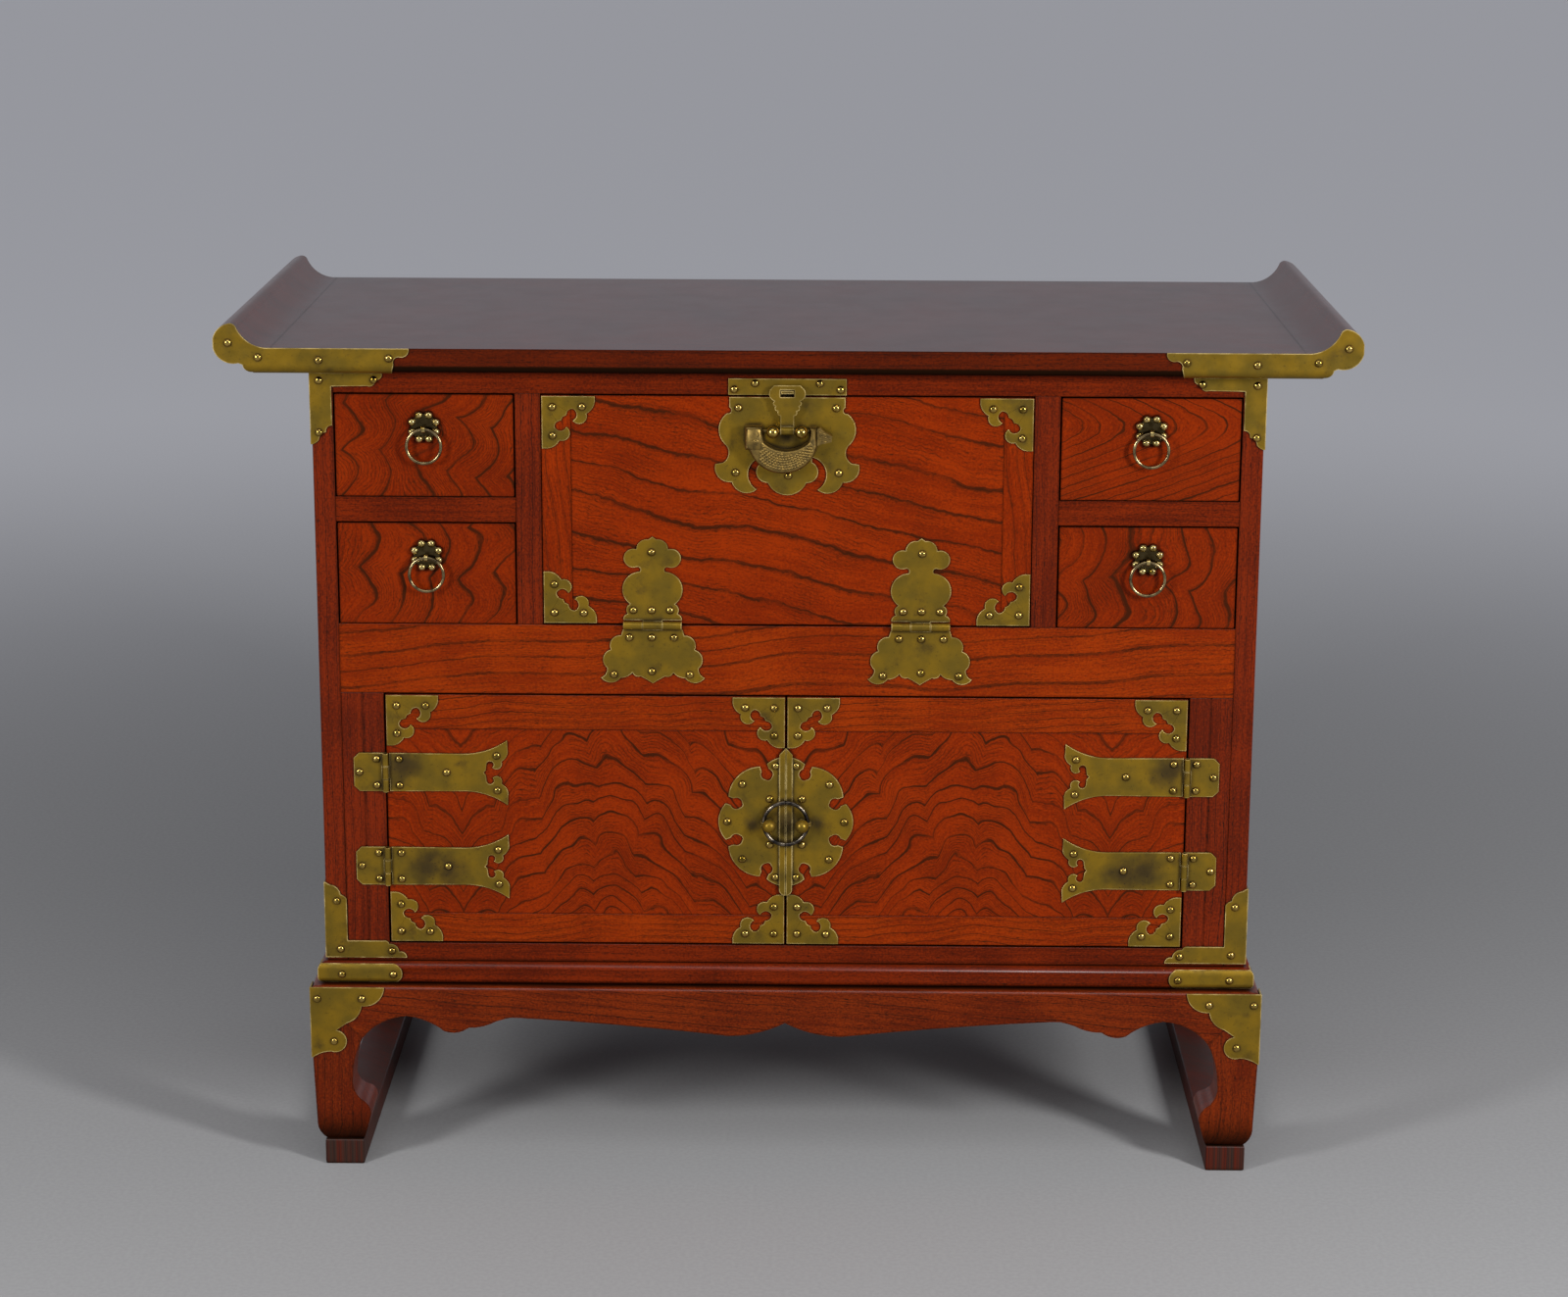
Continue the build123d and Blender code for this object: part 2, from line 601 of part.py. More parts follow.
nodes["legs"] = pair(front_leg.part, rear_leg.part)
nodes["sled_bars"] = pair(
    board(
        (RUNNER_OUT - STAND_HALF, RUNNER_OUT + RUNNER_W - STAND_HALF),
        (STAND_FRONT + RUNNER_INSET, STAND_REAR - RUNNER_INSET),
        (0, RUNNER_H),
    )
)


# Brass on the corners: a cut front sheet with a leaf folded round the side
def folded_plate(outline, x, y, z):
    """Left-hand plate with its corner at the given point; its last point gives the side leaf's height."""
    last = outline[-1]
    reach = last[1][1] if isinstance(last[0], tuple) else last[1]
    with BuildPart() as plate:
        extrude(drawn(outline, front_plane(x, z, y)), amount=SHEET)
        add(board((x - SHEET, x), (y - SHEET, y + SIDE_LEAF_W), sorted((z, z + reach))))
    return plate.part


nodes["corner_brackets"] = pair(
    folded_plate(TOP_BRACKET, -BODY_HALF, FRONT, BODY_Z1 - BRACKET_MARGIN),
    folded_plate(BOTTOM_BRACKET, -BODY_HALF, FRONT, BODY_Z0 + BRACKET_MARGIN),
)

# Brass on the stand: bands bent over the moulding's nose, and a folded plate at the top of each front leg
band_front, band_left = moulding_set(SHEET)[:2]
band_half = BODY_HALF + MOULDING_STEP + SHEET
band_low = STAND_TOP + BAND_MARGIN
band_high = BODY_Z0 - BAND_MARGIN
band_window = [
    (-band_half, band_low), (BAND_W - band_half, band_low),
    ((BAND_W - band_half + 8, (band_low + band_high) / 2), (BAND_W - band_half, band_high)),
    (-band_half, band_high),
]
nose_y = FRONT - MOULDING_STEP
with BuildPart() as band:
    add(band_front)
    extrude(drawn(band_window, front_plane()), amount=MOULDING_STEP + SHEET, mode=Mode.INTERSECT)
    add(front_length, mode=Mode.SUBTRACT)
with BuildPart() as band_wrap:
    add(band_left)
    wrap_y = (nose_y - SHEET, nose_y + SIDE_LEAF_W)
    add(board((-band_half, -BODY_HALF), wrap_y, (band_low, band_high)), mode=Mode.INTERSECT)
    add(left_length, mode=Mode.SUBTRACT)
with BuildPart() as whole_band:
    add(band.part)
    add(band_wrap.part)
nodes["stand_plates"] = pair(
    whole_band.part,
    folded_plate(flipped(LEG_PLATE, 1, -1), -STAND_HALF, STAND_FRONT, STAND_TOP - PLATE_MARGIN),
)


# Hinges: leaves of sheet whose knuckles wrap a loose pin
def hinge_leaf(outline, plane, spans, radius, pin_out):
    """Leaf on a plane whose x lies along the pin and whose y runs away from it, with its own knuckles."""
    root = radius + KNUCKLE_CLEAR + SHEET
    with BuildPart() as leaf:
        extrude(drawn(outline, plane), amount=SHEET)
        for start, end in spans:
            neck = [(start, 0), (end, 0), (end, root), (start, root)]
            extrude(drawn(neck, plane), amount=SHEET)
            add(rod(plane.from_local_coords((start, 0, pin_out)), plane.x_dir, end - start, radius))
        first = plane.from_local_coords((spans[0][0], 0, pin_out))
        add(rod(first, plane.x_dir, spans[-1][1] - spans[0][0], PIN_R + PIN_FIT), mode=Mode.SUBTRACT)
    return leaf.part


def knuckle_spans(half):
    """Outer pair and middle one of a three-knuckle barrel."""
    edge = half / 3
    return [(-half, -edge - KNUCKLE_GAP), (edge + KNUCKLE_GAP, half)], [(-edge, edge)]


flap_outer, flap_middle = knuckle_spans(FLAP_HINGE_HALF)
flap_hinge = (-FLAP_HINGE_X, FRONT, FLAP_AXIS_Z)
nodes["flap_hinge_fixed_leaves"] = pair(
    hinge_leaf(
        both_sides(FLAP_FIXED_LEAF), Plane(flap_hinge, x_dir=(-1, 0, 0), z_dir=FORWARD),
        flap_outer, FLAP_KNUCKLE_R, FLAP_PIN_OUT,
    )
)
nodes["flap_hinge_leaves"] = pair(
    hinge_leaf(
        both_sides(FLAP_LEAF), Plane(flap_hinge, x_dir=(1, 0, 0), z_dir=FORWARD),
        flap_middle, FLAP_KNUCKLE_R, FLAP_PIN_OUT,
    )
)
flap_pin_start = (-FLAP_HINGE_X - FLAP_HINGE_HALF, FRONT - FLAP_PIN_OUT, FLAP_AXIS_Z)
flap_pin = rod(flap_pin_start, (1, 0, 0), 2 * FLAP_HINGE_HALF, PIN_R)

door_outer, door_middle = knuckle_spans(DOOR_HINGE_HALF)
fixed_leaf_half = [
    (DOOR_HINGE_HALF, DOOR_KNUCKLE_R + KNUCKLE_CLEAR), (DOOR_HINGE_HALF, DOOR_LEAF_W - LEAF_CLIP),
    (DOOR_HINGE_HALF - LEAF_CLIP, DOOR_LEAF_W), (0, DOOR_LEAF_W),
]
door_straps = []
door_fixed_leaves = []
door_pins = []
for hinge_z in (DOOR_Z1 - DOOR_HINGE_INSET, DOOR_Z0 + DOOR_HINGE_INSET):
    place = (-DOOR_AXIS_X, FRONT, hinge_z)
    door_straps.append(
        hinge_leaf(
            both_sides(DOOR_STRAP), Plane(place, x_dir=(0, 0, -1), z_dir=FORWARD),
            door_middle, DOOR_KNUCKLE_R, DOOR_PIN_OUT,
        )
    )
    door_fixed_leaves.append(
        hinge_leaf(
            both_sides(fixed_leaf_half), Plane(place, x_dir=(0, 0, 1), z_dir=FORWARD),
            door_outer, DOOR_KNUCKLE_R, DOOR_PIN_OUT,
        )
    )
    pin_foot = (-DOOR_AXIS_X, FRONT - DOOR_PIN_OUT, hinge_z - DOOR_HINGE_HALF)
    door_pins.append(rod(pin_foot, (0, 0, 1), 2 * DOOR_HINGE_HALF, PIN_R))
nodes["door_hinge_fixed_leaves"] = pair(*door_fixed_leaves)
nodes["hinge_pins"] = pair(flap_pin, *door_pins)


# Flap
def corner_plates(x, z):
    """Four corner plates on a front that spans two pairs of limits."""
    plates = []
    for across, corner_x in ((1, x[0] + PLATE_MARGIN), (-1, x[1] - PLATE_MARGIN)):
        for up, corner_z in ((1, z[0] + PLATE_MARGIN), (-1, z[1] - PLATE_MARGIN)):
            plates.append(sheet(flipped(CORNER_PLATE, across, up), front_plane(corner_x, corner_z)))
    return group(*plates)


FRONT_Y = (FRONT, FRONT + FRONT_T)
FLAP_Z = (FLAP_Z0, FLAP_Z1)
nodes["flap_panel"] = board((CLEAT_W - FLAP_HALF, FLAP_HALF - CLEAT_W), FRONT_Y, FLAP_Z)
nodes["flap_cleats"] = pair(board((-FLAP_HALF, CLEAT_W - FLAP_HALF), FRONT_Y, FLAP_Z))
nodes["flap_corner_plates"] = corner_plates((-FLAP_HALF, FLAP_HALF), FLAP_Z)
nodes["lock_plate"] = sheet(both_sides(LOCK_PLATE), front_plane(z=FLAP_Z1 - PLATE_MARGIN))


# Lock: ball-headed staples and a hasp on the flap, a tongue on the top rail, and a fish padlock whose
# bar threads them all
bar_bore = rod((-FISH_HEAD_X, BAR_Y, BAR_Z), (1, 0, 0), FISH_HEAD_X + FISH_TAIL_X, BAR_R + PIN_FIT)
with BuildPart() as staple:
    add(knob((-STAPLE_X, FRONT - SHEET, BAR_Z), STAPLE_R, BALL_R, STAPLE_L, BALL_BANDS))
    add(bar_bore, mode=Mode.SUBTRACT)
nodes["lock_staples"] = pair(staple.part)

hasp_plane = front_plane(z=BAR_Z, y=BAR_Y + ROLL_R)
slot_outline = [
    (-SLOT_W / 2, SLOT_RISE - SLOT_H / 2), (SLOT_W / 2, SLOT_RISE - SLOT_H / 2),
    (SLOT_W / 2, SLOT_RISE + SLOT_H / 2), (-SLOT_W / 2, SLOT_RISE + SLOT_H / 2),
]
with BuildPart() as hasp:
    extrude(drawn(both_sides(HASP), hasp_plane), amount=HASP_T)
    extrude(drawn(slot_outline, hasp_plane), amount=HASP_T, mode=Mode.SUBTRACT)
    add(rod((-HASP_TAIL, BAR_Y, BAR_Z), (1, 0, 0), 2 * HASP_TAIL, ROLL_R))
    add(bar_bore, mode=Mode.SUBTRACT)
nodes["hasp"] = hasp.part

tongue_half = SLOT_W / 2 - TONGUE_SLACK
tongue_top = BAR_Z + SLOT_RISE + SLOT_H / 2 - TONGUE_SLACK
tongue_z = (tongue_top - TONGUE_T, tongue_top)
tongue_y = (BAR_Y + ROLL_R - HASP_T - TONGUE_SLACK, FRONT)
with BuildPart() as lock_top_plate:
    plate_z = (FLAP_CEILING, FLAP_CEILING + LOCK_TOP_H)
    add(board((-LOCK_TOP_HALF, LOCK_TOP_HALF), (FRONT - SHEET, FRONT), plate_z))
    add(board((-tongue_half, tongue_half), tongue_y, tongue_z))
nodes["lock_top_plate"] = lock_top_plate.part

with BuildPart() as fish_padlock:
    extrude(drawn(FISH, front_plane(z=BAR_Z, y=BAR_Y + FISH_T / 2)), amount=FISH_T)
    cheeks = fish_padlock.faces().filter_by(Axis.Y).sort_by(Axis.Y)
    chamfer(cheeks[0].edges() + cheeks[-1].edges(), length=FISH_EDGE)
    hole_end = BAR_END + BAR_END_GAP
    hole = rod((-hole_end, BAR_Y, BAR_Z), (1, 0, 0), hole_end + FISH_TAIL_X, BAR_R + PIN_FIT)
    add(hole, mode=Mode.SUBTRACT)
nodes["fish_padlock"] = fish_padlock.part

tail_x = FISH_TAIL_X + TAIL_GAP
with BuildPart() as padlock_bolt:
    extrude(drawn(FISH_TAIL, front_plane(tail_x, BAR_Z, BAR_Y + TAIL_T / 2)), amount=TAIL_T)
    add(rod((-BAR_END, BAR_Y, BAR_Z), (1, 0, 0), BAR_END + tail_x, BAR_R))
nodes["padlock_bolt"] = padlock_bolt.part


# Doors: the left one is drawn, and the right one is its mirror image
def ring(radius, wire, centre):
    """Ring standing upright, facing forward, of a many-sided wire."""
    with BuildPart() as whole:
        with BuildSketch(Plane(centre, x_dir=(1, 0, 0), z_dir=(0, 0, 1))):
            with Locations((radius, 0)):
                RegularPolygon(wire, WIRE_SIDES)
        revolve(axis=Axis(centre, FORWARD))
    return whole.part


# Cloud-cut round plate: narrow and wide lobes in turn, parted by bays that open inside their hooked mouths
round_outline = [polar(ROUND_R - 4, -LOBE_ANGLES[0])]
for lobe in range(LOBES):
    middle = lobe * 360 / LOBES
    end = middle + LOBE_ANGLES[lobe % 2]
    begin = middle + 360 / LOBES - LOBE_ANGLES[(lobe + 1) % 2]
    round_outline += [
        (polar(ROUND_R, middle), polar(ROUND_R - 4, end)),
        polar(ROUND_R - 9, end - 0.5),
        (polar(ROUND_R - 14, end - 3), polar(ROUND_R - 17.5, end)),
        (polar(ROUND_R - 19, (end + begin) / 2), polar(ROUND_R - 17.5, begin)),
        (polar(ROUND_R - 14, begin + 3), polar(ROUND_R - 9, begin + 0.5)),
        polar(ROUND_R - 4, begin),
    ]
round_outline.pop()
seam_bar = [
    (-SEAM, -BAR_H / 2), ((-BAR_HALF_W * 0.75, 2 - BAR_H / 2), (-BAR_HALF_W, BAR_HALF_W - BAR_H / 2)),
    (-BAR_HALF_W, BAR_H / 2 - BAR_HALF_W), (-SEAM, BAR_H / 2),
]
ring_y = FRONT - DOOR_RING_STANDOFF
left_of_seam = board((-2 * ROUND_R, -SEAM), (FRONT - BAR_H, FRONT), (DOOR_Z0, DOOR_Z1))
eye_foot = (-DOOR_RING_R, ring_y, DOOR_MID_Z - EYE_W / 2)
with BuildPart() as ring_plate:
    extrude(drawn(round_outline, front_plane(z=DOOR_MID_Z)), amount=SHEET)
    add(left_of_seam, mode=Mode.INTERSECT)
    extrude(drawn(seam_bar, front_plane(z=DOOR_MID_Z)), amount=SHEET + BAR_PROUD)
    post_foot = (-RING_POST_X, FRONT - SHEET, DOOR_MID_Z)
    add(knob(post_foot, RING_POST_R, RING_POST_BALL_R, RING_POST_L, BALL_BANDS))
    add(rod(eye_foot, (0, 0, 1), EYE_W, DOOR_WIRE_R + EYE_WALL))
    add(rod(eye_foot, (0, 0, 1), EYE_W, DOOR_WIRE_R + EYE_FIT), mode=Mode.SUBTRACT)
with BuildPart() as half_ring:
    add(ring(DOOR_RING_R, DOOR_WIRE_R, (0, ring_y, DOOR_MID_Z)))
    add(left_of_seam, mode=Mode.INTERSECT)
DOOR_X = (-DOOR_X1, -GAP / 2)
door_pieces = {
    "panel": board(DOOR_X, FRONT_Y, (DOOR_Z0 + DOOR_BOTTOM_RAIL_H, DOOR_Z1 - DOOR_TOP_RAIL_H)),
    "rails": group(
        board(DOOR_X, FRONT_Y, (DOOR_Z0, DOOR_Z0 + DOOR_BOTTOM_RAIL_H)),
        board(DOOR_X, FRONT_Y, (DOOR_Z1 - DOOR_TOP_RAIL_H, DOOR_Z1)),
    ),
    "corner_plates": corner_plates(DOOR_X, (DOOR_Z0, DOOR_Z1)),
    "hinge_straps": group(*door_straps),
    "ring_plate": ring_plate.part,
    "half_ring": half_ring.part,
}
for piece_name, piece in door_pieces.items():
    nodes[f"left_door_{piece_name}"] = piece
    nodes[f"right_door_{piece_name}"] = mirrored(piece)


# Drawers: the left ones are drawn, and the right ones are their mirror images
def drawer(floor_z):
    """Pieces of the left-hand drawer that stands on a level."""
    x = (GAP - POST_IN, -PARTITION_OUT - GAP)
    z = (floor_z + SEAT + FRONT_LIFT, floor_z + DRAWER_OPENING_H - GAP)
    front_back = FRONT + DRAWER_FRONT_T
    back_y = BACK_IN - DRAWER_BACK_GAP
    top_z = z[1] - DRAWER_SIDE_DROP
    with BuildPart() as box:
        add(board(x, (front_back, back_y), (floor_z + SEAT, top_z)))
        hollow_x = (x[0] + DRAWER_WALL, x[1] - DRAWER_WALL)
        hollow_z = (floor_z + SEAT + DRAWER_BOTTOM_T, top_z)
        add(board(hollow_x, (front_back, back_y - DRAWER_WALL), hollow_z), mode=Mode.SUBTRACT)
    middle_x = (x[0] + x[1]) / 2
    rosette_z = (z[0] + z[1]) / 2 + PULL_RISE
    eye_z = rosette_z - EYE_DROP
    eye_r = PULL_WIRE_R + EYE_WALL
    eye_x = (middle_x - EYE_W / 2, middle_x + EYE_W / 2)
    eye_start = (eye_x[0], FRONT - PULL_STANDOFF, eye_z)
    with BuildPart() as pull:
        add(rod((middle_x, FRONT, rosette_z), FORWARD, PULL_PLATE_T, ROSETTE_R))
        for petal in range(PETALS):
            across, up = polar(ROSETTE_R, (petal + 0.5) * 360 / PETALS)
            foot = (middle_x + across, FRONT, rosette_z + up)
            add(knob(foot, PETAL_R, PETAL_R, PETAL_LIFT, PETAL_BANDS))
        add(board(eye_x, (FRONT - PULL_STANDOFF, FRONT), (eye_z - eye_r, eye_z + eye_r)))
        add(rod(eye_start, (1, 0, 0), EYE_W, eye_r))
        add(rod(eye_start, (1, 0, 0), EYE_W, PULL_WIRE_R + EYE_FIT), mode=Mode.SUBTRACT)
    return {
        "front": board(x, (FRONT, front_back), z),
        "box": box.part,
        "pull": pull.part,
        "ring": ring(PULL_RING_R, PULL_WIRE_R, (middle_x, FRONT - PULL_STANDOFF, eye_z - PULL_RING_R)),
    }


for level, floor_z in zip(("lower", "upper"), DRAWER_FLOORS):
    for piece_name, piece in drawer(floor_z).items():
        nodes[f"{level}_left_drawer_{piece_name}"] = piece
        nodes[f"{level}_right_drawer_{piece_name}"] = mirrored(piece)

os.makedirs("parts", exist_ok=True)
for node_name, node in nodes.items():
    node.label = node_name
    export_step(node, f"parts/{node_name}.step")
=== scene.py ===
import json
from math import cos, hypot, pi, radians, sin

import bmesh
import bpy
from mathutils import Matrix, Vector


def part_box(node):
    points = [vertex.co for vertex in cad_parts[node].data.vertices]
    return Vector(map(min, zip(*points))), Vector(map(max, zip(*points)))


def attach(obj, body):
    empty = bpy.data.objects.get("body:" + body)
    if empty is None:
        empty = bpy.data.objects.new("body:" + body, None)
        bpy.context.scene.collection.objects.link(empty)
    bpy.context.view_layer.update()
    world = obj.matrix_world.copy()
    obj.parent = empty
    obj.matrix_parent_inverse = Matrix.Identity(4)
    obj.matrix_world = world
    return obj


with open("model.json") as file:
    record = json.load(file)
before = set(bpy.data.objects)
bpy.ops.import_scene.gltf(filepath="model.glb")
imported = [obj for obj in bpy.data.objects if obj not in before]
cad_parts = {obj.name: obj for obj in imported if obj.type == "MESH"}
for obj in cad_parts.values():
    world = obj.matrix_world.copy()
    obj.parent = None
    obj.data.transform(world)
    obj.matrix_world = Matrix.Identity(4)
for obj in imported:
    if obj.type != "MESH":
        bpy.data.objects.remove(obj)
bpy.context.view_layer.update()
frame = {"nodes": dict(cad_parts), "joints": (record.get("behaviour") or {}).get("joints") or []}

# The finish of a low lacquered cabinet: figured wood, aged brass with dome nails, and the studio around it.
# Metres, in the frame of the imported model: +Z up, the front faces -Y.

MM = 0.001

# Colours, linear
DOOR_LIGHT = (0.265, 0.0250, 0.0008, 1)
DOOR_RED = (0.165, 0.0135, 0.0006, 1)
DRAWER_LIGHT = (0.238, 0.0220, 0.0008, 1)
DRAWER_RED = (0.146, 0.0118, 0.0006, 1)
FIGURE_DARK = (0.042, 0.0080, 0.0014, 1)
RAIL_LIGHT = (0.280, 0.0310, 0.0010, 1)
RAIL_RED = (0.180, 0.0160, 0.0008, 1)
FRAME_LIGHT = (0.180, 0.0175, 0.0016, 1)
FRAME_RED = (0.092, 0.0086, 0.0012, 1)
FRAME_DARK = (0.012, 0.0040, 0.0018, 1)
STAND_LIGHT = (0.190, 0.0235, 0.0022, 1)
STAND_RED = (0.100, 0.0105, 0.0015, 1)
TOP_LIGHT = (0.105, 0.0120, 0.0020, 1)
TOP_RED = (0.060, 0.0075, 0.0018, 1)
TOP_DARK = (0.012, 0.0045, 0.0025, 1)
WORN_LIGHT = (0.036, 0.019, 0.013, 1)
WORN_DARK = (0.012, 0.007, 0.006, 1)
PLAIN_LIGHT = (0.36, 0.20, 0.095, 1)
PLAIN_DARK = (0.20, 0.10, 0.045, 1)
# Wood darkens to this at its worn edges, towards the floor on the feet, and as painted shade along joints and
# under the top
GRIME_AND_SHADE = (0.010, 0.0045, 0.0020, 1)
BRASS = (0.258, 0.152, 0.011, 1)
BRASS_OLIVE = (0.168, 0.108, 0.0125, 1)
# Patina of stains and specks on the brass; also the colour of painted shade where parts stand close
BRASS_PATINA_AND_SHADE = (0.036, 0.024, 0.011, 1)
# Rubbed brass on the edges, brightened further as a painted highlight
BRASS_RUBBED_HIGHLIGHT = (0.85, 0.64, 0.25, 1)
NAIL = (0.50, 0.335, 0.085, 1)
BEAD = (0.66, 0.50, 0.20, 1)
RING = (0.36, 0.27, 0.13, 1)
RING_DARK = (0.095, 0.068, 0.036, 1)
BLACKENED = (0.035, 0.030, 0.028, 1)
BLACKENED_WORN = (0.30, 0.25, 0.18, 1)
BRONZE = (0.275, 0.178, 0.050, 1)
BRONZE_DARK = (0.150, 0.102, 0.036, 1)
FLOOR = (0.36, 0.36, 0.363, 1)
BACKGROUND = (0.30, 0.305, 0.335, 1)


class Paint:
    """A material being made: each call adds a shader node and returns what it gives."""

    def __init__(self, name):
        self.material = bpy.data.materials.new(name)
        self.material.use_nodes = True
        self.tree = self.material.node_tree
        self.shader = self.tree.nodes["Principled BSDF"]
        self.place = self.node("ShaderNodeTexCoord").outputs["Object"]
        self.x, self.y, self.z = self.node("ShaderNodeSeparateXYZ", {"Vector": self.place}).outputs

    def feed(self, socket, value):
        """Links a node's output to a socket, or sets a plain value on it."""
        if isinstance(value, bpy.types.NodeSocket):
            self.tree.links.new(value, socket)
        else:
            socket.default_value = value

    def node(self, kind, inputs=None, **settings):
        """A new node with its settings and inputs."""
        made = self.tree.nodes.new(kind)
        for key, value in settings.items():
            setattr(made, key, value)
        for key, value in (inputs or {}).items():
            self.feed(made.inputs[key], value)
        return made

    def math(self, operation, *values):
        """One sum, named as the Math node names it."""
        return self.node("ShaderNodeMath", dict(enumerate(values)), operation=operation).outputs[0]

    def total(self, *values):
        """Several values added up."""
        result = values[0]
        for value in values[1:]:
            result = self.math("ADD", result, value)
        return result

    def times(self, *values):
        """Several values multiplied."""
        result = values[0]
        for value in values[1:]:
            result = self.math("MULTIPLY", result, value)
        return result

    def point(self, x=0.0, y=0.0, z=0.0):
        """A point for a texture to be read at."""
        return self.node("ShaderNodeCombineXYZ", {"X": x, "Y": y, "Z": z}).outputs[0]

    def noise(self, place, size, detail=2.0, roughness=0.5):
        """Cloudy noise from 0 to 1, with blotches of about the given size."""
        inputs = {"Vector": place, "Scale": 1 / size, "Detail": detail, "Roughness": roughness}
        return self.node("ShaderNodeTexNoise", inputs).outputs["Fac"]

    def span(self, value, start, end, low=0.0, high=1.0):
        """The value carried smoothly from one range to another."""
        inputs = {"Value": value, "From Min": start, "From Max": end, "To Min": low, "To Max": high}
        return self.node("ShaderNodeMapRange", inputs, interpolation_type="SMOOTHSTEP").outputs[0]

    def ramp(self, value, *stops):
        """Grey level by position along a ramp."""
        made = self.node("ShaderNodeValToRGB", {"Fac": value})
        points = made.color_ramp.elements
        while len(points) < len(stops):
            points.new(0.5)
        for element, (position, level) in zip(points, stops):
            element.position = position
            element.color = (level, level, level, 1)
        return made.outputs["Color"]

    def blend(self, share, first, second):
        """Colour between two colours."""
        made = self.node("ShaderNodeMix", data_type="RGBA")
        self.feed(made.inputs[0], share)
        self.feed(made.inputs[6], first)
        self.feed(made.inputs[7], second)
        return made.outputs[2]

    def normal_z(self):
        """How far the surface faces up."""
        normal = self.node("ShaderNodeNewGeometry").outputs["Normal"]
        return self.node("ShaderNodeSeparateXYZ", {"Vector": normal}).outputs["Z"]

    def edges(self, reach):
        """Share from 0 on open faces to 1 on the edges of a piece."""
        rounded = self.node("ShaderNodeBevel", {"Radius": reach}, samples=6).outputs["Normal"]
        normal = self.node("ShaderNodeNewGeometry").outputs["Normal"]
        turn = self.node("ShaderNodeVectorMath", {0: rounded, 1: normal}, operation="DOT_PRODUCT")
        return self.span(turn.outputs["Value"], 0.995, 0.82)

    def grime(self, reach, start=0.92, end=0.45):
        """Share of painted shade, from ambient occlusion: it grows where other surfaces stand close."""
        near = self.node("ShaderNodeAmbientOcclusion", {"Distance": reach}, samples=6).outputs["AO"]
        return self.span(near, start, end)

    def bump(self, height, depth, strength=1.0):
        """Relief of the given depth on the shader's normal."""
        inputs = {"Height": height, "Distance": depth, "Strength": strength}
        self.finish({"Normal": self.node("ShaderNodeBump", inputs).outputs[0]})

    def finish(self, inputs):
        """Sets the shader's own inputs."""
        for key, value in inputs.items():
            self.feed(self.shader.inputs[key], value)
        return self.material


# Wood
JAG_SIZE = 8 * MM           # length of the small jags along a line
JAG_REACH = 2.6 * MM        # how far they stray, unless a spec says otherwise
FINE_SPACING = 3.2 * MM     # between the fine lines
EDGE_WEAR = 3.5 * MM        # width of the darkened edges of a board
JOINT_SHADE = 5 * MM        # reach of the painted shade along its joints


def growth_level(paint, across, along, spec):
    """Distance through the growth of a board: lines lie where it is constant.

    A spec gives the spacing of the lines and the size and reach of their wander. As needed it also gives
    their slope and jags, an arch (crown and steepness), scallops (depth and pitch) and a seed.
    """
    flat = paint.point(across, along, spec.get("seed", 0.0))
    size, reach = spec["wander"]
    drift = paint.times(paint.math("SUBTRACT", paint.noise(flat, size), 0.5), 2 * reach)
    stray = paint.math("SUBTRACT", paint.noise(flat, JAG_SIZE, 3), 0.5)
    jag = paint.times(stray, spec.get("jag", JAG_REACH))
    level = paint.total(along, drift, jag, paint.times(across, spec.get("slope", 0.0)))
    if "arch" in spec:
        crown, steep = spec["arch"]
        side = paint.math("POWER", paint.times(across, steep), 2)
        level = paint.math("ADD", level, paint.math("SQRT", paint.math("ADD", side, crown**2)))
    if "scallop" in spec:
        depth, pitch = spec["scallop"]
        sway = paint.times(paint.noise(flat, 2.2 * pitch), 1.6)
        turn = paint.times(paint.math("ADD", paint.math("DIVIDE", across, pitch), sway), pi)
        wave = paint.math("ABSOLUTE", paint.math("SINE", turn))
        swell = paint.span(paint.noise(flat, 1.5 * pitch), 0.3, 0.7, 0.35 * depth, 1.3 * depth)
        level = paint.math("SUBTRACT", level, paint.times(wave, swell))
    return level


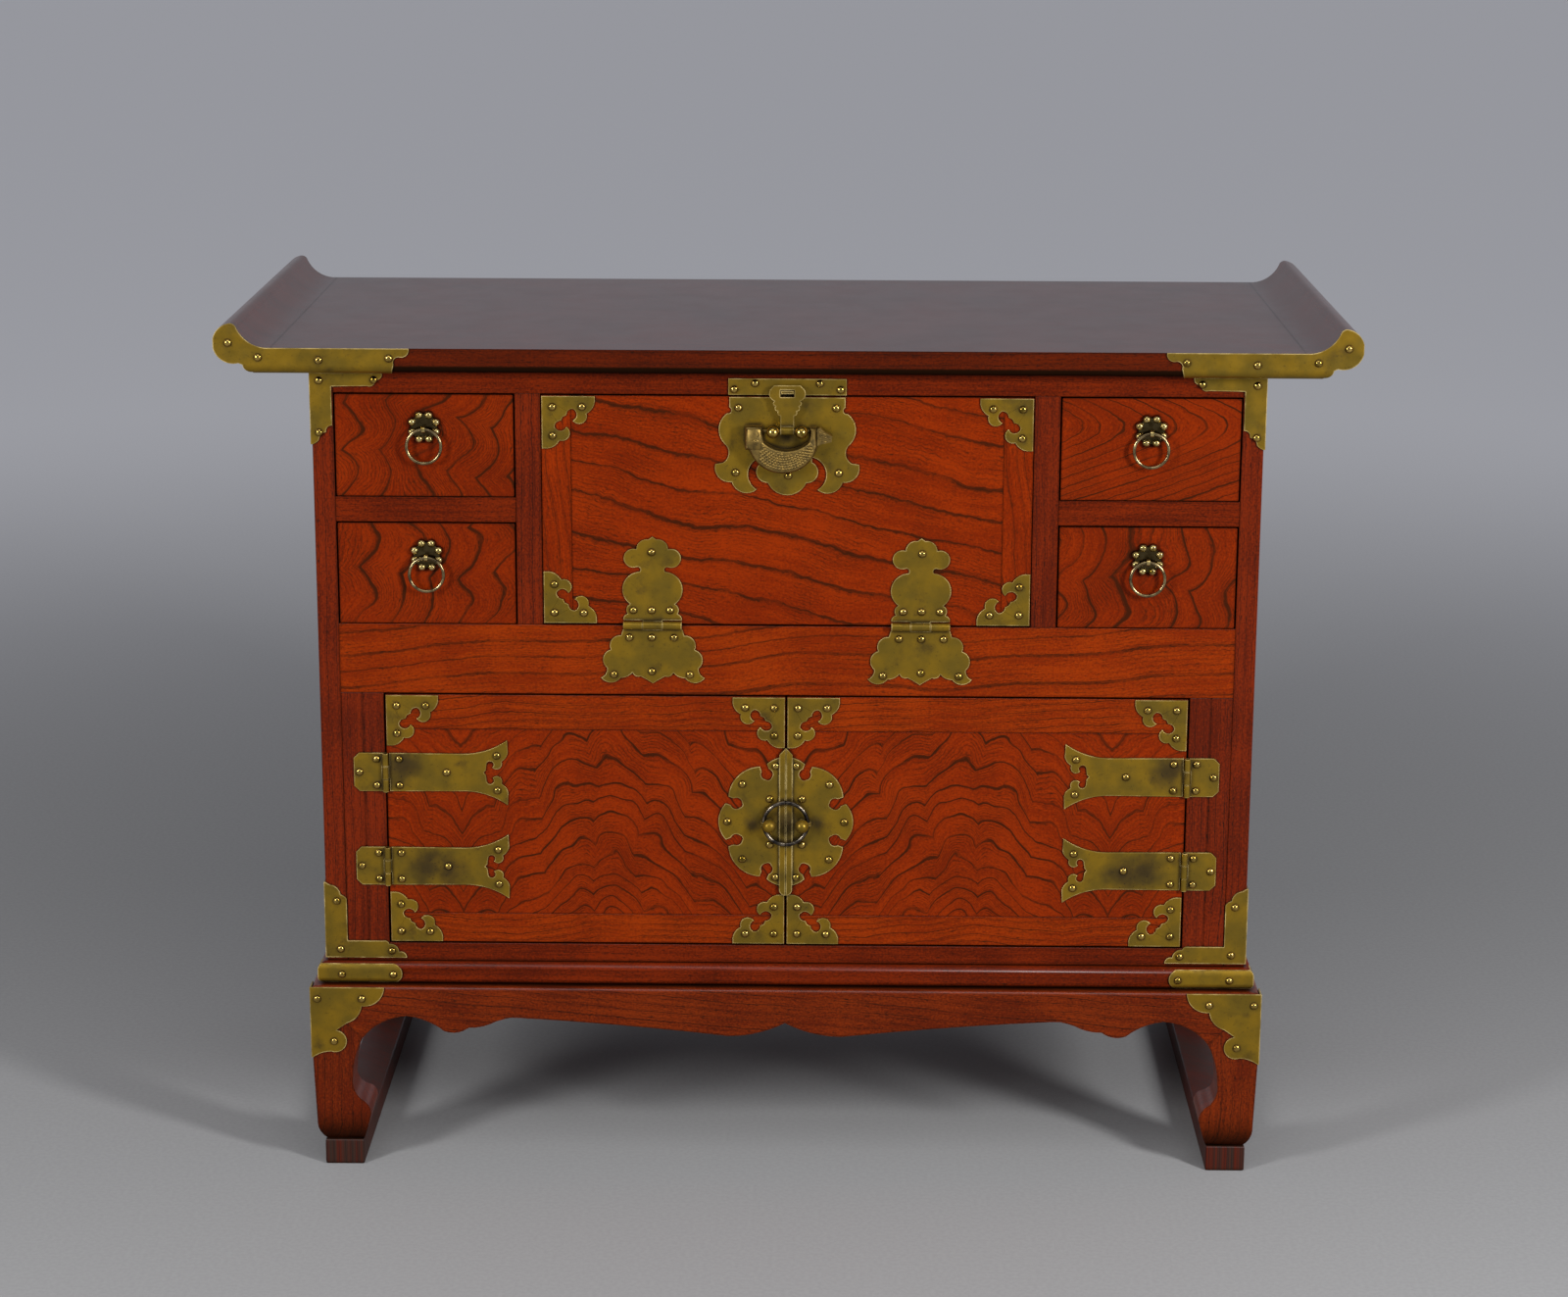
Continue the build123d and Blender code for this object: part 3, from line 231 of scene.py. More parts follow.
def wood(name, across, along, spec, tones, strength=1.0, rough=0.30, edge=0.5, sheen=(0.07, 0.30), **parts):
    """Lacquered board: dark late-wood lines, fine lines and flecks between them, and painted shade along its
    joints.

    A spec with a crowd brings the lines closer below a level. Sheen is the reflection of upright faces and of
    those that look up. Of the parts, calm scales the lines down and shade darkens the board; both are
    functions of the paint.
    """
    light, red, dark = tones
    paint = Paint(name)
    across = across(paint)
    along = along(paint)
    seed = spec.get("seed", 0.0)
    flat = paint.point(across, along, seed)
    level = growth_level(paint, across, along, spec)
    uneven = paint.times(paint.noise(paint.point(level, seed), 2.5 * spec["spacing"], 1), 1.6)
    rings = paint.math("ADD", paint.math("DIVIDE", level, spec["spacing"]), uneven)
    if "crowd" in spec:
        start, closing = spec["crowd"]
        below = paint.math("SUBTRACT", start, level)
        rings = paint.math("SUBTRACT", rings, paint.times(below, below, closing))
    late = paint.ramp(
        paint.math("FRACT", rings), (0.0, 0.06), (0.03, 0.0), (0.55, 0.0), (0.84, 0.10), (0.905, 0.80),
        (0.925, 1.0), (0.975, 1.0), (1.0, 0.06),
    )
    fade = paint.span(paint.noise(flat, 55 * MM, 1), 0.30, 0.60, 0.45 * strength, strength)
    if "calm" in parts:
        fade = paint.times(fade, parts["calm"](paint))
    ripple = paint.times(paint.noise(flat, 5 * MM, 2), 0.9)
    count = max(2.0, round(spec["spacing"] / FINE_SPACING))
    fine = paint.math("FRACT", paint.math("ADD", paint.times(rings, count), ripple))
    fine = paint.ramp(fine, (0.0, 0.0), (0.55, 0.15), (0.80, 1.0), (1.0, 0.0))
    patch = paint.span(paint.noise(flat, 42 * MM, 1), 0.38, 0.60, 0.10, 0.62 * strength)
    flecks = paint.noise(paint.point(paint.math("DIVIDE", across, 6.0), level, seed), 1.0 * MM, 3)
    flecks = paint.span(flecks, 0.50, 0.74, 0.0, 0.62)
    marks = paint.math("MINIMUM", paint.total(paint.times(late, fade), paint.times(fine, patch), flecks), 1.0)
    streak = paint.noise(paint.point(paint.math("DIVIDE", across, 9.0), level, seed), 6 * MM, 3)
    cloud = paint.noise(flat, 80 * MM, 2)
    grain = paint.noise(flat, 2.0 * MM, 3)
    mottle = paint.total(streak, cloud, paint.times(grain, 1.6))
    ground = paint.blend(paint.span(mottle, 1.40, 2.20), light, red)
    colour = paint.blend(marks, ground, dark)
    rim = paint.times(paint.edges(EDGE_WEAR), edge)
    # Darkening: worn dark edges, painted shade where other surfaces stand close, and the shade part; it also
    # takes off the sheen
    darkening = paint.math("MAXIMUM", rim, paint.times(paint.grime(JOINT_SHADE), 0.85))
    if "shade" in parts:
        darkening = paint.math("MAXIMUM", darkening, parts["shade"](paint))
    colour = paint.blend(darkening, colour, GRIME_AND_SHADE)
    paint.bump(paint.math("SUBTRACT", 1.0, marks), 0.05 * MM, 0.4)
    roughness = paint.span(paint.noise(paint.place, 30 * MM, 3), 0.2, 0.8, 0.93 * rough, 1.1 * rough)
    undarkened = paint.math("SUBTRACT", 1.0, darkening)
    specular = paint.times(paint.span(paint.normal_z(), 0.08, 0.65, *sheen), undarkened)
    return paint.finish({"Base Color": colour, "Roughness": roughness, "Specular IOR Level": specular})


DOOR_ARCH_X = 166 * MM      # middle of each door's arched figure, out from the seam
DOOR_VALLEY = 128 * MM      # from there out to the valley between two arches
CALM_FROM = 235 * MM        # out from the seam, where a door's lines begin to calm
CALM_TO = 275 * MM
FOOT_DARK_FROM = 62 * MM    # above the floor, where the feet begin to darken
FOOT_DARK_TO = 26 * MM
NOSE_RISE = 21 * MM         # nose of the upper right drawer's figure, over its middle
nose_z = sum(corner.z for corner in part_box("upper_right_drawer_front")) / 2 + NOSE_RISE


def from_arch(paint):
    """Across a door, from the middle of its nearest arch."""
    beside = paint.math("SUBTRACT", paint.math("ABSOLUTE", paint.x), DOOR_ARCH_X)
    return paint.math("MINIMUM", beside, paint.math("SUBTRACT", 2 * DOOR_VALLEY, beside))


def from_nose(paint):
    """Up from the nose of the upper right drawer's figure."""
    return paint.math("SUBTRACT", paint.z, nose_z)


def axis_x(paint):
    return paint.x


def axis_y(paint):
    return paint.y


def axis_z(paint):
    return paint.z


def depth_and_x(paint):
    """Along X, carried round the corner on faces that run back."""
    return paint.math("ADD", paint.x, paint.times(paint.y, 0.8))


def depth_and_z(paint):
    """Along Z, carried back over the top of a piece."""
    return paint.math("ADD", paint.z, paint.times(paint.y, 0.8))


def stand_upright(paint):
    """Across an upright piece, on its front and on its sides."""
    return paint.total(paint.x, paint.y)


def calm_by_hinges(paint):
    """Fewer lines on the outer third of a door."""
    return paint.span(paint.math("ABSOLUTE", paint.x), CALM_FROM, CALM_TO, 1.0, 0.80)


def under_side(paint):
    """Painted shade on the faces that look down."""
    return paint.span(paint.normal_z(), -0.02, -0.35, 0.0, 0.97)


def by_floor(paint):
    """Feet darkened towards the floor."""
    return paint.span(paint.z, FOOT_DARK_FROM, FOOT_DARK_TO, 0.0, 0.85)


figured = (DOOR_LIGHT, DOOR_RED, FIGURE_DARK)
drawing = (DRAWER_LIGHT, DRAWER_RED, FIGURE_DARK)
railing = (RAIL_LIGHT, RAIL_RED, FIGURE_DARK)
framing = (FRAME_LIGHT, FRAME_RED, FRAME_DARK)
topping = (TOP_LIGHT, TOP_RED, TOP_DARK)
standing = (STAND_LIGHT, STAND_RED, FRAME_DARK)
doors = wood(
    "door_figure", from_arch, axis_z,
    {"spacing": 23 * MM, "wander": (60 * MM, 7 * MM), "arch": (32 * MM, 0.95), "scallop": (15 * MM, 44 * MM),
     "crowd": (440 * MM, 75.0)},
    figured, calm=calm_by_hinges,
)
flap = wood(
    "flap_figure", axis_x, axis_z,
    {"spacing": 31 * MM, "wander": (110 * MM, 15 * MM), "slope": 0.21, "seed": 0.31, "jag": 5 * MM}, figured,
    strength=0.85,
)
zigzag = wood(
    "drawer_figure", axis_z, axis_x,
    {"spacing": 31 * MM, "wander": (80 * MM, 10 * MM), "slope": -0.2, "scallop": (16 * MM, 50 * MM),
     "seed": 0.12},
    drawing,
)
nosed = wood(
    "upper_right_drawer_figure", from_nose, axis_x,
    {"spacing": 23 * MM, "wander": (60 * MM, 9 * MM), "arch": (50 * MM, 3.0), "seed": 0.77, "jag": 6 * MM},
    drawing,
)
long_rails = wood(
    "rail_figure", axis_x, axis_z,
    {"spacing": 19 * MM, "wander": (190 * MM, 19 * MM), "slope": -0.06, "seed": 0.55}, railing, strength=0.7,
)
door_rails = wood(
    "door_rail_figure", axis_x, axis_z,
    {"spacing": 7 * MM, "wander": (120 * MM, 16 * MM), "slope": -0.05, "seed": 0.15}, railing, strength=0.8,
)
cleats = wood(
    "cleat_figure", axis_z, axis_x,
    {"spacing": 9 * MM, "wander": (90 * MM, 9 * MM), "slope": 0.12, "seed": 0.9}, figured, strength=0.6,
)
uprights = wood(
    "frame_upright", axis_z, depth_and_x,
    {"spacing": 7 * MM, "wander": (200 * MM, 5 * MM), "seed": 0.2}, framing, strength=0.6, sheen=(0.11, 0.4),
)
crossers = wood(
    "frame_crosswise", axis_x, depth_and_z,
    {"spacing": 6 * MM, "wander": (200 * MM, 5 * MM), "seed": 0.4}, framing, strength=0.5,
)
runners = wood(
    "frame_lengthwise", axis_y, depth_and_x,
    {"spacing": 6 * MM, "wander": (200 * MM, 5 * MM), "seed": 0.6}, framing, strength=0.5,
)
sides = wood(
    "side_figure", axis_y, axis_z,
    {"spacing": 18 * MM, "wander": (120 * MM, 14 * MM), "arch": (60 * MM, 0.9), "seed": 0.7}, framing,
    strength=0.7,
)
stand = wood(
    "stand_lacquer", axis_x, depth_and_z,
    {"spacing": 8 * MM, "wander": (150 * MM, 9 * MM), "slope": 0.08, "seed": 0.8}, standing, strength=0.6,
    sheen=(0.09, 0.45),
)
legs = wood(
    "leg_lacquer", axis_z, stand_upright,
    {"spacing": 8 * MM, "wander": (120 * MM, 6 * MM), "seed": 0.85}, standing, strength=0.6,
    sheen=(0.10, 0.5), shade=by_floor,
)
worn = wood(
    "worn_bar", axis_y, stand_upright, {"spacing": 6 * MM, "wander": (80 * MM, 6 * MM), "seed": 0.35},
    (WORN_LIGHT, FRAME_RED, WORN_DARK), strength=0.8, rough=0.5, edge=0.0, sheen=(0.15, 0.5),
)
plain = wood(
    "plain_wood", axis_y, stand_upright, {"spacing": 9 * MM, "wander": (150 * MM, 8 * MM), "seed": 0.65},
    (PLAIN_LIGHT, PLAIN_LIGHT, PLAIN_DARK), strength=0.6, rough=0.6, edge=0.1,
)
top = wood(
    "top_figure", axis_x, depth_and_z, {"spacing": 11 * MM, "wander": (260 * MM, 8 * MM), "seed": 0.5},
    topping, strength=0.5, rough=0.2, edge=0.6, sheen=(0.06, 0.5), shade=under_side,
)


# Metal
def aged_brass(name, stains_and_shades=()):
    """Sheet brass gone olive and uneven, with dark handled patches, painted shade round its nails, and rubbed
    edges with a painted highlight.

    A stain or a patch of painted shade is given by its place, out from the middle and up, and its reach.
    """
    paint = Paint(name)
    tone = paint.span(paint.noise(paint.place, 24 * MM, 4), 0.32, 0.68)
    colour = paint.blend(tone, BRASS, BRASS_OLIVE)
    dents = paint.noise(paint.place, 11 * MM, 3)
    stain_and_shade = paint.span(paint.noise(paint.place, 21 * MM, 5, 0.6), 0.54, 0.76, 0.0, 0.55)
    for middle_x, middle_z, reach in stains_and_shades:
        aside = paint.math("SUBTRACT", paint.math("ABSOLUTE", paint.x), middle_x)
        above = paint.math("SUBTRACT", paint.z, middle_z)
        away = paint.math("SQRT", paint.total(paint.times(aside, aside), paint.times(above, above)))
        ragged = paint.math("ADD", away, paint.times(paint.noise(paint.place, 14 * MM, 4), reach))
        stain_and_shade = paint.math("MAXIMUM", stain_and_shade, paint.span(ragged, 1.4 * reach, 0.55 * reach, 0.0, 0.85))
    specks = paint.span(paint.noise(paint.place, 2.2 * MM, 3), 0.60, 0.78, 0.0, 0.45)
    # Painted shade round the nails and wherever other surfaces stand close
    darkening = paint.grime(4.5 * MM, 0.96, 0.58)
    colour = paint.blend(paint.math("MINIMUM", paint.total(stain_and_shade, specks, darkening), 0.95), colour, BRASS_PATINA_AND_SHADE)
    rubbed = paint.span(paint.noise(paint.place, 13 * MM, 2), 0.36, 0.64, 0.25, 0.95)
    # Edges brighter, patchy along them: rubbed brass with a painted highlight
    rubbed_highlight = paint.times(paint.edges(1.7 * MM), rubbed)
    colour = paint.blend(rubbed_highlight, colour, BRASS_RUBBED_HIGHLIGHT)
    rough = paint.total(paint.span(dents, 0.3, 0.7, 0.30, 0.40), paint.times(stain_and_shade, 0.2))
    paint.bump(dents, 0.25 * MM, 0.5)
    metal = paint.span(rubbed_highlight, 0.0, 1.0, 0.60, 0.35)
    inputs = {"Base Color": colour, "Roughness": rough, "Metallic": metal, "Specular IOR Level": 0.2}
    return paint.finish(inputs)


def worn_metal(name, main, dark, blotch, rough_low, rough_high, relief=0.02 * MM, darkness=0.9, hollow=None):
    """Metal with darker blotches and painted shade where other surfaces stand close.

    A hollow gives two depths: from the first back to the second the darkening grows over the whole surface.
    """
    paint = Paint(name)
    tone = paint.span(paint.noise(paint.place, blotch, 4), 0.36, 0.72)
    colour = paint.blend(tone, main, dark)
    # Painted shade where other surfaces stand close and, with a hollow, darker towards the back
    shade_and_depth = paint.grime(4 * MM)
    if hollow:
        shade_and_depth = paint.math("MAXIMUM", shade_and_depth, paint.span(paint.y, *hollow))
    colour = paint.blend(paint.times(shade_and_depth, darkness), colour, BRASS_PATINA_AND_SHADE)
    grain = paint.noise(paint.place, blotch / 6, 3)
    paint.bump(grain, relief, 0.5)
    rough = paint.span(grain, 0.25, 0.75, rough_low, rough_high)
    return paint.finish({"Base Color": colour, "Roughness": rough, "Metallic": 1.0})


joint_at = {joint["name"]: Vector(joint["pos_m"]) for joint in frame["joints"] if "pos_m" in joint}
plate_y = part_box("lock_plate")[0].y
front_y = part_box("flap_panel")[0].y
ring_z = joint_at["left_door_hinge"].z
STRAP_HALF = 30.5 * MM      # half the height of a door hinge strap
strap_low, strap_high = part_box("left_door_hinge_straps")
strap_levels = (strap_low.z + STRAP_HALF, strap_high.z - STRAP_HALF)
brass = aged_brass("aged_brass")
ring_plate_brass = aged_brass("handled_brass", [(0.0, ring_z, 24 * MM), (30 * MM, ring_z - 2 * MM, 13 * MM)])
strap_brass = aged_brass("strap_brass", [
    (326 * MM, strap_levels[0], 30 * MM), (306 * MM, strap_levels[0] - 4 * MM, 27 * MM),
    (346 * MM, strap_levels[1] + 5 * MM, 29 * MM),
])
bar_z = joint_at["padlock_swing"].z
# Its dark patches are painted shade: behind the hasp's slot and behind the padlock just below its bar
latch_brass = aged_brass("latch_brass", [(0.0, bar_z + 31 * MM, 10 * MM), (0.0, bar_z - 7 * MM, 15 * MM)])
nail_brass = worn_metal("nail_brass", NAIL, BRASS_OLIVE, 5 * MM, 0.10, 0.20)
pull_brass = worn_metal(
    "pull_brass", BEAD, BRASS_OLIVE, 5 * MM, 0.14, 0.26, hollow=(front_y - 4.0 * MM, front_y - 2.0 * MM)
)
ring_metal = worn_metal("ring_metal", RING, RING_DARK, 9 * MM, 0.16, 0.30)
black_ring = worn_metal("blackened_ring", BLACKENED, BLACKENED_WORN, 9 * MM, 0.16, 0.30)
bronze = worn_metal("grey_bronze", BRONZE, BRONZE_DARK, 5 * MM, 0.38, 0.54, 0.08 * MM, darkness=0.5)


# Finish on the modelled nodes
def soften(piece, width):
    """Takes the sharpness off the edges of a modelled piece."""
    weld = piece.modifiers.new("joined_corners", "WELD")
    weld.merge_threshold = 0.002 * MM
    bevel = piece.modifiers.new("eased_edges", "BEVEL")
    bevel.width = width
    bevel.segments = 2
    bevel.limit_method = "ANGLE"
    bevel.angle_limit = radians(50)
    piece.modifiers.new("even_shading", "WEIGHTED_NORMAL")


def dress(material, *names, ease=None):
    """Puts a finish on modelled nodes, with their edges eased by a width."""
    for name in names:
        piece = frame["nodes"][name]
        if piece.material_slots:
            piece.material_slots[0].material = material
        else:
            piece.data.materials.append(material)
        if ease:
            soften(piece, ease)


DRAWERS = [f"{level}_{side}_drawer" for level in ("lower", "upper") for side in ("left", "right")]
SIDES = ("left", "right")
dress(top, "top_panel", "scroll_ends", ease=1.0 * MM)
dress(uprights, "corner_posts", "door_stiles", ease=0.9 * MM)
dress(crossers, "front_rails", "drawer_rails", "base_moulding", ease=0.9 * MM)
dress(runners, "side_and_rear_rails", ease=0.9 * MM)
dress(sides, "side_panels", "back_panel")
dress(uprights, "inner_boards", ease=0.6 * MM)
dress(long_rails, "middle_rail", ease=0.7 * MM)
dress(door_rails, "left_door_rails", "right_door_rails", ease=0.7 * MM)
dress(stand, "front_apron", "side_and_rear_aprons", ease=0.9 * MM)
dress(legs, "legs", ease=1.2 * MM)
dress(worn, "sled_bars", ease=1.6 * MM)
dress(doors, "left_door_panel", "right_door_panel", ease=0.7 * MM)
dress(flap, "flap_panel", ease=0.7 * MM)
dress(cleats, "flap_cleats", ease=0.7 * MM)
for drawer in DRAWERS:
    dress(nosed if drawer == "upper_right_drawer" else zigzag, f"{drawer}_front", ease=0.9 * MM)
    dress(plain, f"{drawer}_box", ease=0.5 * MM)
    dress(pull_brass, f"{drawer}_pull", ease=0.15 * MM)
    dress(ring_metal, f"{drawer}_ring", ease=0.1 * MM)
dress(
    brass, "scroll_caps", "corner_brackets", "stand_plates", "flap_hinge_fixed_leaves", "flap_hinge_leaves",
    "door_hinge_fixed_leaves", "flap_corner_plates", "hasp",
    "left_door_corner_plates", "right_door_corner_plates", ease=0.3 * MM,
)
dress(strap_brass, "left_door_hinge_straps", "right_door_hinge_straps", ease=0.3 * MM)
dress(latch_brass, "lock_plate", "lock_top_plate", ease=0.3 * MM)
dress(ring_plate_brass, "left_door_ring_plate", "right_door_ring_plate", ease=0.3 * MM)
dress(nail_brass, "hinge_pins", "lock_staples", ease=0.15 * MM)
dress(black_ring, "left_door_half_ring", "right_door_half_ring", ease=0.1 * MM)
dress(bronze, "fish_padlock", "padlock_bolt", ease=0.9 * MM)

# Raised detail: dome nails, scales and ridges
NAIL_PROFILE = ((1.0, -0.15), (1.0, 0.18), (0.90, 0.48), (0.70, 0.76), (0.40, 0.94))   # shares of R and H
SCALE_PROFILE = ((1.0, -0.4), (0.9, 0.35), (0.5, 0.85))
FORWARD = Vector((0, -1, 0))
BACKWARD = Vector((0, 1, 0))


def loop_of(mesh, centre, aside, upward, radius, sides):
    """Ring of points round a centre."""
    turns = [2 * pi * step / sides for step in range(sides)]
    return [mesh.verts.new(centre + (aside * cos(turn) + upward * sin(turn)) * radius) for turn in turns]


def skin(mesh, lower, upper):
    """Band of faces between two loops."""
    for step in range(len(lower)):
        after = (step + 1) % len(lower)
        mesh.faces.new((lower[step], lower[after], upper[after], upper[step]))


def add_dome(mesh, foot, facing, radius, height, sides=16, profile=NAIL_PROFILE):
    """Dome head standing on a face, sunk a little into it."""
    aside = facing.orthogonal().normalized()
    upward = facing.cross(aside)
    loops = []
    for share, rise in profile:
        loops.append(loop_of(mesh, foot + facing * (rise * height), aside, upward, share * radius, sides))
    for lower, upper in zip(loops, loops[1:]):
        skin(mesh, lower, upper)
    crown = mesh.verts.new(foot + facing * height)
    for step in range(sides):
        mesh.faces.new((loops[-1][step], loops[-1][(step + 1) % sides], crown))
    mesh.faces.new(reversed(loops[0]))


def add_ridge(mesh, points, radius, sides=8):
    """Raised line along points on an upright face, tapered at both ends."""
    loops = []
    for index, point in enumerate(points):
        ahead = points[min(index + 1, len(points) - 1)] - points[max(index - 1, 0)]
        upward = ahead.cross(FORWARD).normalized()
        size = radius * (0.35 if index in (0, len(points) - 1) else 1.0)
        loops.append(loop_of(mesh, point, FORWARD, upward, size, sides))
    for lower, upper in zip(loops, loops[1:]):
        skin(mesh, lower, upper)
    mesh.faces.new(reversed(loops[0]))
    mesh.faces.new(loops[-1])


def as_piece(name, mesh, material, body):
    """Object made of a finished mesh, riding a body."""
    bmesh.ops.recalc_face_normals(mesh, faces=mesh.faces)
    data = bpy.data.meshes.new(name)
    mesh.to_mesh(data)
    mesh.free()
    data.materials.append(material)
    data.polygons.foreach_set("use_smooth", [True] * len(data.polygons))
    piece = bpy.data.objects.new(name, data)
    bpy.context.scene.collection.objects.link(piece)
    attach(piece, body)
    return piece


NAIL_R = 3.4 * MM
NAIL_H = 2.4 * MM


def nail(name, body, places):
    """All the dome nails of one body, given as pairs of a foot and a facing."""
    mesh = bmesh.new()
    for foot, facing in places:
        add_dome(mesh, Vector(foot), facing, NAIL_R, NAIL_H)
    return as_piece(name, mesh, nail_brass, body)


def on_plates(points):
    """Feet across and up, set on the front sheet brass."""
    return [((x, plate_y, z), FORWARD) for x, z in points]


CORNER_NAILS = ((9.4, 9.6), (35.6, 9.4), (9.4, 35.4))      # in from the corner, across and up


def corner_nails(node):
    """Three nails in each of the four corner plates of a front."""
    low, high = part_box(node)
    points = []
    for across, up in CORNER_NAILS:
        for x in (low.x + across * MM, high.x - across * MM):
            points += [(x, low.z + up * MM), (x, high.z - up * MM)]
    return on_plates(points)


# Nails of the doors, in millimetres: across from the hinge pin and up from the middle of the strap, or out
# from the seam and up from the middle of the ring
STRAP_NAILS = ((12.2, 12.4), (12.2, -12.4), (55.0, 0.0), (100.4, 16.0), (100.8, -16.6))
DOOR_LEAF_NAILS = ((8.2, 12.3), (8.2, -12.3), (24.0, 0.0))
ROUND_PLATE_NAILS = ((53, 0), (53, 42), (53, -42), (53.5, 80), (53.5, -80))    # radius, angle
RING_NAILS = ((14.5, 21.5), (14.5, -21.5))
carcass_nails = []
for side in SIDES:
    pin_x = joint_at[f"{side}_door_hinge"].x
    inward = 1 if pin_x < 0 else -1
    door_points = []
    for pin_z in strap_levels:
        door_points += [(pin_x + inward * u * MM, pin_z + v * MM) for u, v in STRAP_NAILS]
        carcass_nails += on_plates([(pin_x - inward * u * MM, pin_z + v * MM) for u, v in DOOR_LEAF_NAILS])
    for radius, angle in ROUND_PLATE_NAILS:
        turn = radians(angle)
        door_points.append((-inward * radius * cos(turn) * MM, ring_z + radius * sin(turn) * MM))
    door_points += [(-inward * u * MM, ring_z + v * MM) for u, v in RING_NAILS]
    in_corners = corner_nails(f"{side}_door_corner_plates")
    nail(f"{side}_door_nails", f"{side}_door", in_corners + on_plates(door_points))

# Nails of the flap and its lock, in millimetres: across and up, from the axis at the middle of the hinge,
# from the top of the lock plate or from the lower edge of the plate over it
FLAP_LEAF_NAILS = ((0, 66.5), (-16.4, 13.4), (0, 13.4), (16.4, 13.4))
FLAP_FIXED_NAILS = ((-20, -11.6), (0, -11.6), (20, -11.6), (-34, -45.8), (0, -43), (34, -45.8))
LOCK_NAILS = ((-43, -9.5), (43, -9.5), (-45.7, -67.5), (45.7, -67.5), (1, -70))
LOCK_TOP_NAILS = ((-28.5, 10.5), (28.5, 10.5), (-46.8, 5), (46.8, 5))
LEAF_HALF = 26 * MM         # half the width of a flap hinge at its barrel
leaf_low, leaf_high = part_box("flap_hinge_leaves")
flap_axis_z = joint_at["flap_hinge"].z
flap_points = []
for leaf_x in (leaf_low.x + LEAF_HALF, leaf_high.x - LEAF_HALF):
    flap_points += [(leaf_x + u * MM, flap_axis_z + v * MM) for u, v in FLAP_LEAF_NAILS]
    carcass_nails += on_plates([(leaf_x + u * MM, flap_axis_z + v * MM) for u, v in FLAP_FIXED_NAILS])
lock_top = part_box("lock_plate")[1].z
flap_points += [(u * MM, lock_top + v * MM) for u, v in LOCK_NAILS]
nail("flap_nails", "flap", corner_nails("flap_corner_plates") + on_plates(flap_points))
lock_top_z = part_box("lock_top_plate")[0].z
carcass_nails += on_plates([(u * MM, lock_top_z + v * MM) for u, v in LOCK_TOP_NAILS])

# Nails of the body's and stand's corner brass, as places out from the middle and up from the floor
SHEET = 1.3 * MM            # thickness of the brass
cap_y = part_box("scroll_caps")[0].y
band_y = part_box("base_moulding")[0].y - SHEET
leg_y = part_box("front_apron")[0].y - SHEET
CAP_NAILS = ((488.3, 771.5), (462.4, 758.8), (409.5, 756.7), (348.0, 758.4))
UPPER_BRACKET_NAILS = ((412.7, 735.3), (413.5, 688.8), (364.3, 736.0))
LOWER_BRACKET_NAILS = ((409.8, 254.2), (407.5, 208.0), (360.5, 206.5))
BAND_NAILS = ((406, 186), (359, 186))
LEG_NAILS = ((428.5, 164.5), (387.7, 164.7), (414, 123.5))
CORNER_BRASS = (
    (cap_y, CAP_NAILS), (plate_y, UPPER_BRACKET_NAILS), (plate_y, LOWER_BRACKET_NAILS),
    (band_y, BAND_NAILS), (leg_y, LEG_NAILS),
)
for sign in (-1, 1):
    for face_y, points in CORNER_BRASS:
        carcass_nails += [((sign * x * MM, face_y, z * MM), FORWARD) for x, z in points]
nail("carcass_nails", "carcass", carcass_nails)

# Fish padlock, on both faces: rows of scales on the belly, a head plate with its eye, curl and lip, and
# rays on the tail.
# Places in millimetres across, and up from the bar.
BELLY = (-3.5, -5.2, 31.5)      # middle and radius of the belly's round
SADDLE = (-0.6, 12.0, 29.0)     # the same for the hollow of the back
SCALE_R = 1.45
SCALE_H = 0.5
SCALE_ROWS = 10
SCALE_ROW_STEP = 2.2
SCALE_PITCH = 2.7               # along a row
BELLY_MARGIN = 3.6              # outermost row inside the edge of the belly
SADDLE_MARGIN = 3.0             # scales clear of the hollow of the back
SCALES_FROM = -24.0             # first and last scale across, and the highest
SCALES_TO = 22.5
SCALES_TOP = -9.0
GILL_X = -18.5                  # in front of this the scales end on a slope
GILL_SLOPE = 1.6
HEAD = ((-34.8, 2.4), (-23.6, 2.8), (-22.9, -9.0), (-23.2, -15.2), (-32.4, -15.4), (-34.8, -14.2))
HEAD_RISE = 0.9
EYE = (-27.5, -8.5)
EYE_DOMES = ((2.4, 0.5), (1.3, 1.1))        # radius and height of its ring and its ball
CURL = ((-26.6, 1.0), (-24.9, -0.6), (-24.6, -2.8), (-26.2, -4.2))
CURL_R = 0.6
LIP = ((-34.2, -9.5), (-31.8, -8.2), (-30.0, -8.6))
LIP_R = 0.5
TAIL_RAYS = (((28.0, 0.5), (31.5, -1.2), (36.5, -4.2)), ((28.0, -3.0), (32.5, -4.8), (38.0, -6.6)),
             ((28.0, -6.5), (31.5, -8.0), (37.0, -9.2)))
RAY_R = 0.6


def cheek(node):
    """The two upright faces of a lock piece, as pairs of a place and a facing."""
    low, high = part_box(node)
    return ((low.y, FORWARD), (high.y, BACKWARD))


def scale_places():
    """Middles of the scales, row inside row along the belly."""
    places = []
    for row in range(SCALE_ROWS):
        radius = BELLY[2] - BELLY_MARGIN - SCALE_ROW_STEP * row
        step = SCALE_PITCH / radius
        for index in range(int(pi / step)):
            turn = -pi + (index + 0.5 * (row % 2)) * step
            x = BELLY[0] + radius * cos(turn)
            z = BELLY[1] + radius * sin(turn)
            clear = hypot(x - SADDLE[0], z - SADDLE[1]) > SADDLE[2] + SADDLE_MARGIN
            ceiling = SCALES_TOP - max(0.0, GILL_X - x) * GILL_SLOPE
            if clear and SCALES_FROM < x < SCALES_TO and z < ceiling:
                places.append((x, z))
    return places


def lock_point(place, y):
    """A place on the padlock as a point at a depth."""
    return Vector((place[0] * MM, y, bar_z + place[1] * MM))


